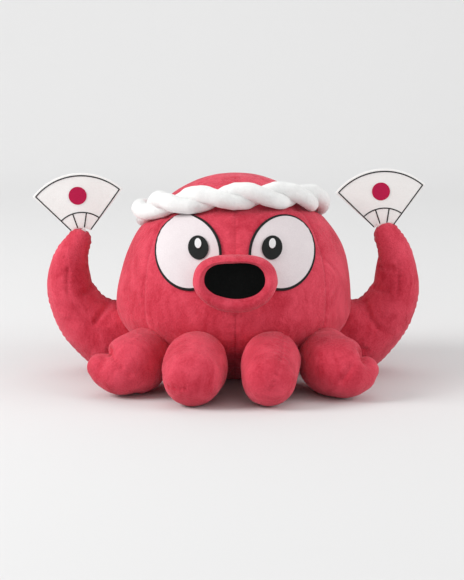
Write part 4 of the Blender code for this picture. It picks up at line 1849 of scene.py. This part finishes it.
@dataclass
class Fan:
    """A hand fan of stiff felt with a dark line, ribs and a plain disc.

    Attributes:
        side: Which arm holds it.
        looks: The toy's finishes.
        apex: The point that its sides run to.
        lean: How far it leans to the left, in degrees.
        radius: From the apex to its outer edge.
        arch: How much further out the middle of its outer edge is than the corners.
        half_angle: Half the angle between its sides, in degrees.
        root: From the apex to its inner edge.
        thick: The felt's thickness.
        line: How wide the dark lines are.
        line_thick: How thick the outer and inner lines are.
        rib_thick: How thick the ribs are.
        margin: How much felt shows outside the outer line.
        inner_arc: From the apex to the inner line.
        disc_radius: The disc's radius.
        disc_place: From the apex to the disc's middle.
        disc_thick: The disc's thickness.
        cup: How far its halves bow back.
    """

    side: Side
    looks: Wardrobe
    apex: Vector
    lean: float = 5.2
    radius: float = 0.0570
    arch: float = 0.0019
    half_angle: float = 42.8
    root: float = 0.0118
    thick: float = 0.0017
    line: float = 0.0010
    line_thick: float = 0.00028
    rib_thick: float = 0.00026
    margin: float = 0.0015
    inner_arc: float = 0.0246
    disc_radius: float = 0.0077
    disc_place: float = 0.0392
    disc_thick: float = 0.00030
    cup: float = 0.0014

    def out(self, radius: float, degrees: float, lift: float) -> Vector:
        """A place on the fan.

        Args:
            radius: How far it is from the apex.
            degrees: Its angle from the fan's middle.
            lift: How far it stands in front of the middle of the felt.

        Returns:
            The place.
        """
        angle = math.radians(degrees - self.lean)
        bow = self.cup * (math.sin(math.radians(2 * degrees)) ** 2) * (radius / self.radius)
        aside = min(abs(degrees) / self.half_angle, 1.0)
        beyond = (radius - self.inner_arc) / (self.radius - self.inner_arc)
        beyond = min(max(beyond, -1.0), 1.0)
        radius += self.arch * math.cos(math.pi / 2 * aside) * beyond * abs(beyond)
        return self.apex + Vector((radius * math.sin(angle), -lift + bow, radius * math.cos(angle)))

    def strip(self, name: str, rows: Rows, thick: float) -> bpy.types.Object:
        """A strip of cloth between rows of points.

        Args:
            name: The new object's name.
            rows: Rows of the same number of points.
            thick: The strip's thickness.

        Returns:
            The strip.
        """
        count = len(rows[0])
        deselect()
        bpy.ops.mesh.primitive_grid_add(
            x_subdivisions=len(rows) - 1, y_subdivisions=count - 1, size=1
        )
        obj = bpy.context.object
        obj.name = f"{self.side.word}_{name}"
        apply_all(obj)
        grid = points_of(obj)
        across = np.rint((grid[:, 0] + 0.5) * (len(rows) - 1)).astype(int)
        along = np.rint((grid[:, 1] + 0.5) * (count - 1)).astype(int)
        place_points(obj, np.array([rows[i][j] for i, j in zip(across, along)], dtype=float))
        with editing(obj):
            bpy.ops.mesh.normals_make_consistent(inside=False)
        add_modifier(obj, "SOLIDIFY", thickness=thick, offset=0.0)
        add_modifier(obj, "BEVEL", width=0.25 * thick, segments=2, limit_method="ANGLE")
        apply_all(obj)
        smooth_shaded(obj, 40)
        return obj

    def arc_rows(
        self, inner: float, outer: float, half: float, lift: float, steps: int, across: int = 2
    ) -> Rows:
        """Rows across an arc.

        Args:
            inner: Its inner radius.
            outer: Its outer radius.
            half: How many degrees it goes to each side of the fan's middle.
            lift: How far it stands in front of the middle of the felt.
            steps: How many parts it has along its length.
            across: How many points each row has.

        Returns:
            The rows.
        """
        rows = []
        for step in range(steps + 1):
            degrees = -half + 2 * half * step / steps
            radii = (inner + (outer - inner) * i / (across - 1) for i in range(across))
            rows.append([self.out(radius, degrees, lift) for radius in radii])
        return rows

    def rib_rows(
        self, degrees: float, inner: float, outer: float, lift: float, steps: int = 16
    ) -> Rows:
        """Rows along a straight line of thread from the root outwards.

        Args:
            degrees: Its angle from the fan's middle.
            inner: The radius where it starts.
            outer: The radius where it ends.
            lift: How far it stands in front of the middle of the felt.
            steps: How many parts it has along its length.

        Returns:
            The rows.
        """
        rows = []
        for step in range(steps + 1):
            radius = inner + (outer - inner) * step / steps
            half = math.degrees(self.line / 2 / radius)
            rows.append([self.out(radius, degrees + edge, lift) for edge in (-half, half)])
        return rows

    def build(self) -> list[bpy.types.Object]:
        """Models the felt, the lines and the disc.

        Returns:
            The pieces.
        """
        body = f"{self.side.word}_fan"
        felt = self.arc_rows(self.root, self.radius, self.half_angle, 0, 48, 18)
        panel = self.strip("fan_felt", felt, self.thick)
        self.looks.dress(panel, self.looks.felt, "fan_felt")
        lift = self.thick / 2 + ON_FELT
        lines = self.lines(lift)
        for strip in lines:
            self.looks.dress(strip, self.looks.print_dark, "black_print")
            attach(strip, body)
        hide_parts(f"{self.side.word}_fan_outline")
        spot = self.spot(lift)
        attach(panel, body)
        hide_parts(f"{self.side.word}_fan_panel")
        log.info("%s fan: %d pieces", self.side.word, 2 + len(lines))
        return [panel, *lines, spot]

    def lines(self, lift: float) -> list[bpy.types.Object]:
        """The outer and inner lines, and then the two sides and the two ribs.

        Args:
            lift: How far they stand in front of the middle of the felt.

        Returns:
            The lines.
        """
        edge = self.radius - self.margin - self.line
        side = self.half_angle - math.degrees((self.margin + self.line / 2) / self.radius)
        outer_half, inner_half = side + 0.5, side + 0.8  # far enough to meet the sides
        outer = self.arc_rows(edge, edge + self.line, outer_half, lift, 48)
        inner = self.arc_rows(self.inner_arc, self.inner_arc + self.line, inner_half, lift, 32)
        lines = [
            self.strip("fan_outer_line", outer, self.line_thick),
            self.strip("fan_inner_line", inner, self.line_thick),
        ]
        start = self.root + 0.0008
        to_outer, to_inner = edge + self.line / 2, self.inner_arc + self.line / 2
        ribs = ((-side, to_outer), (side, to_outer), (-side / 3, to_inner), (side / 3, to_inner))
        for index, (degrees, reach) in enumerate(ribs):
            rows = self.rib_rows(degrees, start, reach, lift)
            lines.append(self.strip(f"fan_rib_{index}", rows, self.rib_thick))
        return lines

    def spot(self, lift: float) -> bpy.types.Object:
        """The plain disc in the fan's middle.

        Args:
            lift: How far it stands in front of the middle of the felt.

        Returns:
            The disc.
        """
        middle = self.out(self.disc_place, 0, 0)
        size = (self.disc_radius, self.disc_radius)
        spot = disc(f"{self.side.word}_fan_spot", middle.x, middle.z, *size, 5)
        points = points_of(spot)
        points[:, 1] = self.apex.y - lift
        place_points(spot, points)
        add_modifier(spot, "SOLIDIFY", thickness=self.disc_thick, offset=0.0)
        apply_all(spot)
        smooth_shaded(spot, 40)
        self.looks.dress(spot, self.looks.print_crimson, "crimson_print")
        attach(spot, f"{self.side.word}_fan")
        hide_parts(f"{self.side.word}_fan_disc")
        return spot


# ---------------------------------------------------------------- studio


@dataclass
class Studio:
    """A pale sweep, soft lamps and the camera.

    Attributes:
        eye_height: How high the camera looks from, in degrees.
        distance: How far from its aim the camera stands.
        aim: What the camera looks at.
        lens: Its focal length in millimetres.
        floor_size: How wide and how deep the floor is.
        floor_back: How far back its middle lies.
        curve: The radius of the bend between floor and wall.
        curve_steps: How many faces the bend has.
        wall: How high the wall is above the bend.
        painted_light_tones: The paper's grey near the toy, and up the wall, a painted grade of
            light: darker on the brightly lit floor.
        painted_light_reach: Where the first tone ends and where the second begins, going back.
        air: How bright the surroundings are.
        lamps: Each lamp's name, place, width and power in watts.
        lamp_aim: What the lamps point at.
    """

    eye_height: float = 10.0
    distance: float = 1.5
    aim: Place = (-0.0026, 0.0, 0.0737)
    lens: float = 108.0
    floor_size: tuple[float, float] = (9.0, 3.4)
    floor_back: float = -0.4
    curve: float = 0.9
    curve_steps: int = 12
    wall: float = 2.6
    painted_light_tones: tuple[float, float] = (0.70, 0.82)
    painted_light_reach: tuple[float, float] = (0.2, 1.5)
    air: float = 0.61
    lamps: Sequence[tuple[str, Place, float, float]] = (
        ("key", (-1.7, -0.48, 1.15), 0.9, 32.5),
        ("side", (1.7, -0.48, 0.9), 1.2, 15),
        ("top", (0.0, 0.5, 1.9), 1.4, 3.8),
    )
    lamp_aim: Place = (0.0, 0.0, 0.08)

    def sweep(self) -> None:
        """A floor that curves up into a wall behind the toy."""
        deselect()
        bpy.ops.mesh.primitive_plane_add(size=1.0)
        floor = bpy.context.object
        floor.name = "studio_sweep"
        with editing(floor, "EDGE"):
            bpy.ops.transform.resize(value=(*self.floor_size, 1), center_override=(0, 0, 0))
            bpy.ops.transform.translate(value=(0, self.floor_back, 0))
        far_edge = []
        for edge in floor.data.edges:
            ends = [floor.data.vertices[index].co.y for index in edge.vertices]
            far_edge.append(min(ends) > 0)
        with editing_edges(floor, far_edge):
            bpy.ops.mesh.extrude_region_move(TRANSFORM_OT_translate={"value": (0, 0, 0.0)})
            turns = [math.pi / 2 * step / self.curve_steps for step in range(self.curve_steps + 1)]
            for first, second in zip(turns, turns[1:]):
                back = self.curve * (math.sin(second) - math.sin(first))
                up = self.curve * (math.cos(first) - math.cos(second))
                move = {"value": (0, back, up)}
                bpy.ops.mesh.extrude_region_move(TRANSFORM_OT_translate=move)
            rise = {"value": (0, 0, self.wall)}
            bpy.ops.mesh.extrude_region_move(TRANSFORM_OT_translate=rise)
            bpy.ops.mesh.select_all(action="SELECT")
            bpy.ops.mesh.remove_doubles(threshold=MILLIMETRE)
            bpy.ops.mesh.normals_make_consistent(inside=True)
        smooth_shaded(floor)
        floor.data.materials.append(self.paper())

    def paper(self) -> bpy.types.Material:
        """The sweep's pale paper, with painted light: darker on the floor near the toy and lighter
        up the wall.
        """
        material = bpy.data.materials.new("studio_paper")
        material.use_nodes = True
        sheet = Sheet(material.node_tree)
        place = sheet.add("ShaderNodeTexCoord").outputs["Object"]
        depth = sheet.add("ShaderNodeSeparateXYZ", {"Vector": place}).outputs["Y"]
        # painted light: the grey grows lighter from the floor near the toy back up the wall
        near, far = ((tone, tone, tone, 1) for tone in self.painted_light_tones)
        tone = sheet.mix(sheet.ramp(depth, *self.painted_light_reach), near, far)
        finish = {"Base Color": tone, "Roughness": 0.95, "Specular IOR Level": 0.1}
        shader = sheet.add("ShaderNodeBsdfPrincipled", finish)
        sheet.add("ShaderNodeOutputMaterial", {"Surface": shader.outputs[0]})
        return material

    def lamp(self, name: str, place: Place, size: float, power: float) -> None:
        """A square soft lamp.

        Args:
            name: Its name.
            place: Where it stands.
            size: How wide it is.
            power: Its power in watts.
        """
        deselect()
        bpy.ops.object.light_add(type="AREA", location=place)
        lamp = bpy.context.object
        lamp.name = name
        lamp.data.size = size
        lamp.data.energy = power
        way = Vector(self.lamp_aim) - Vector(place)
        lamp.rotation_euler = way.to_track_quat("-Z", "Y").to_euler()

    def build(self) -> None:
        """Sets up the sweep, the light and the camera."""
        self.sweep()
        world = bpy.data.worlds.new("studio_air")
        bpy.context.scene.world = world
        world.use_nodes = True
        air = world.node_tree.nodes["Background"]
        air.inputs["Color"].default_value = (1, 1, 1, 1)
        air.inputs["Strength"].default_value = self.air
        for lamp in self.lamps:
            self.lamp(*lamp)
        up = math.radians(self.eye_height)
        aim = Vector(self.aim)
        back = Vector((0, -math.cos(up), math.sin(up)))
        bpy.ops.object.camera_add(location=aim + back * self.distance)
        camera = bpy.context.object
        camera.name = "studio_camera"
        camera.rotation_euler = (-back).to_track_quat("-Z", "Y").to_euler()
        camera.data.lens = self.lens
        camera.data.sensor_width = 36.0
        bpy.context.scene.camera = camera
        bpy.context.scene.view_settings.view_transform = "Standard"
        log.info("studio")


# ---------------------------------------------------------------- assembly


def mirrored(side: Side, x: float, *rest: float) -> tuple[float, ...]:
    """A place on the right as it is, or the same place on the left.

    Args:
        side: The side that it goes to.
        x: How far to the right it is.
        rest: What stays the same on both sides.

    Returns:
        The place on that side.
    """
    return (side.value * x, *rest)


# Each limb's middle line is (x, y, z, radius), and each crease is (x, y, z), in millimetres.
LEFT_ARM = (
    (-110.0, 10.7, 33.4, 31.6), (-124.5, 10.0, 42.8, 27.4), (-135.2, 8.8, 55.6, 24.2),
    (-142.0, 7.4, 72.5, 21.6), (-143.2, 6.2, 88.2, 18.9), (-140.4, 5.0, 103.4, 15.2),
    (-133.6, 4.0, 117.2, 11.6),
)
RIGHT_ARM = (
    (109.5, 10.7, 34.6, 32.2), (123.0, 10.0, 44.0, 27.0), (133.2, 8.8, 58.0, 24.2),
    (139.0, 7.4, 75.0, 21.4), (139.4, 6.2, 90.5, 18.6), (137.2, 5.0, 107.2, 15.2),
    (130.2, 4.0, 121.6, 12.2),
)
LEFT_ARM_CREASES = (
    ((-106, -6, 72), (-109, -12, 65), (-114, -16.5, 57), (-119, -18, 50)),
    ((-115, -3, 80), (-120, -10, 77), (-125, -14, 75)),
    ((-97, -20, 27), (-102, -20, 25), (-107, -19.6, 24)),
)
RIGHT_ARM_CREASES = (
    ((97, -20, 25.6), (101, -20, 25.2), (105, -20, 25.6), (109, -19.6, 25.2), (112, -19.4, 24.6)),
    ((104, -6, 73), (108, -12, 66), (113, -16.5, 58), (117, -18, 51.5), (122, -18.6, 44)),
    ((113, -3, 79), (118, -10, 77.5), (122, -14, 76.4), (127, -16, 76)),
    ((119, -2, 95), (124, -9, 95), (128, -12.5, 94.6), (133, -13.6, 94.4)),
)
LEFT_FRONT_LEG = (
    (-31.6, -94.5, 30.4, 26.8), (-32.8, -105.0, 27.2, 27.4), (-34.0, -117.5, 24.2, 25.4),
)
RIGHT_FRONT_LEG = (
    (29.2, -94.5, 32.0, 24.4), (28.0, -105.0, 28.0, 24.4), (27.0, -120.0, 22.2, 22.8),
)
LEFT_OUTER_LEG = (
    (-80.5, -69.5, 25.6, 26.4), (-88.0, -79.5, 24.2, 25.4), (-96.6, -84.0, 20.4, 20.4),
    (-105.6, -83.0, 21.4, 15.4), (-110.5, -82.0, 24.6, 12.2),
)
RIGHT_OUTER_LEG = (
    (78.0, -73.0, 25.6, 26.6), (85.0, -86.0, 24.6, 26.2), (94.0, -93.5, 22.0, 22.6),
    (102.0, -93.0, 21.6, 16.6), (106.2, -91.0, 24.2, 12.2),
)
LEFT_TOE_CREASES = (
    ((-99, -72, 35), (-96.5, -80, 33), (-94, -88, 30), (-90, -97, 26), (-85, -104, 22)),
)
RIGHT_TOE_CREASES = (
    ((102, -79, 34), (99.6, -88, 32), (96, -97, 29), (91, -105, 25), (86, -110, 20)),
)
REAR_LEG = (
    (50.5, 87.5, 29.4, 26.0), (55.5, 97.5, 25.6, 25.4),
    (60.0, 106.0, 21.2, 21.6), (63.3, 111.8, 16.8, 16.4),
)
REAR_LEGS = {side: [mirrored(side, *station) for station in REAR_LEG] for side in Side}


def limbs(looks: Wardrobe) -> list[Limb]:
    """The two arms and the six legs.

    Args:
        looks: The finishes.

    Returns:
        The limbs, not yet built.
    """
    arm_root, front_root = (0.096873, 0.010846, 0.029), (0.03016, -0.084644, 0.030)
    outer_root, rear_root = (0.074766, -0.057208, 0.0285), (0.04582, 0.078582, 0.030)
    arm_radius, leg_radius = 0.0310, 0.0245
    made: list[Limb] = []
    arms = (
        (Side.LEFT, LEFT_ARM, (0.56, 5, -100), LEFT_ARM_CREASES),
        (Side.RIGHT, RIGHT_ARM, (0.53, 5, 95), RIGHT_ARM_CREASES),
    )
    for side, path, fold, creases in arms:
        made.append(Limb(
            f"{side.word}_arm", mirrored(side, *arm_root), arm_radius, path, looks,
            seam_turns=(0.0, 180.0), stuffing=Stuffing(grid=0.0045, swell=0.0020),
            blend_reach=(-0.3, 0.9), seed=1.0 + len(made), folds=(fold,), creases=creases,
        ))
    legs = (
        ("front_leg", Side.LEFT, front_root, LEFT_FRONT_LEG, 95.0, ()),
        ("front_leg", Side.RIGHT, front_root, RIGHT_FRONT_LEG, -27.0, ()),
        ("outer_leg", Side.LEFT, outer_root, LEFT_OUTER_LEG, 100.0, LEFT_TOE_CREASES),
        ("outer_leg", Side.RIGHT, outer_root, RIGHT_OUTER_LEG, -100.0, RIGHT_TOE_CREASES),
        ("rear_leg", Side.LEFT, rear_root, REAR_LEGS[Side.LEFT], 80.0, ()),
        ("rear_leg", Side.RIGHT, rear_root, REAR_LEGS[Side.RIGHT], -80.0, ()),
    )
    for name, side, root, path, turn, creases in legs:
        made.append(Limb(
            f"{side.word}_{name}", mirrored(side, *root), leg_radius, path, looks,
            seam_turns=(turn,), seed=1.0 + len(made), creases=creases,
        ))
    return made


def main() -> None:
    """Builds the toy and its studio."""
    logging.basicConfig(level=logging.INFO, format="%(message)s")
    looks = Wardrobe()
    form = HeadForm()
    band = Headband(form, looks)
    head = Head(form, looks).build(band)
    for side in Side:
        Eye(side, looks).build(head)
    Snout(looks).build()
    band.build()
    for limb in limbs(looks):
        limb.build()
    Fan(Side.LEFT, looks, apex=Vector((-0.1311, 0.004, 0.1156))).build()
    Fan(Side.RIGHT, looks, apex=Vector((0.1284, 0.004, 0.1193))).build()
    looks.dress_hidden()
    Studio().build()


if __name__ == "__main__":
    main()
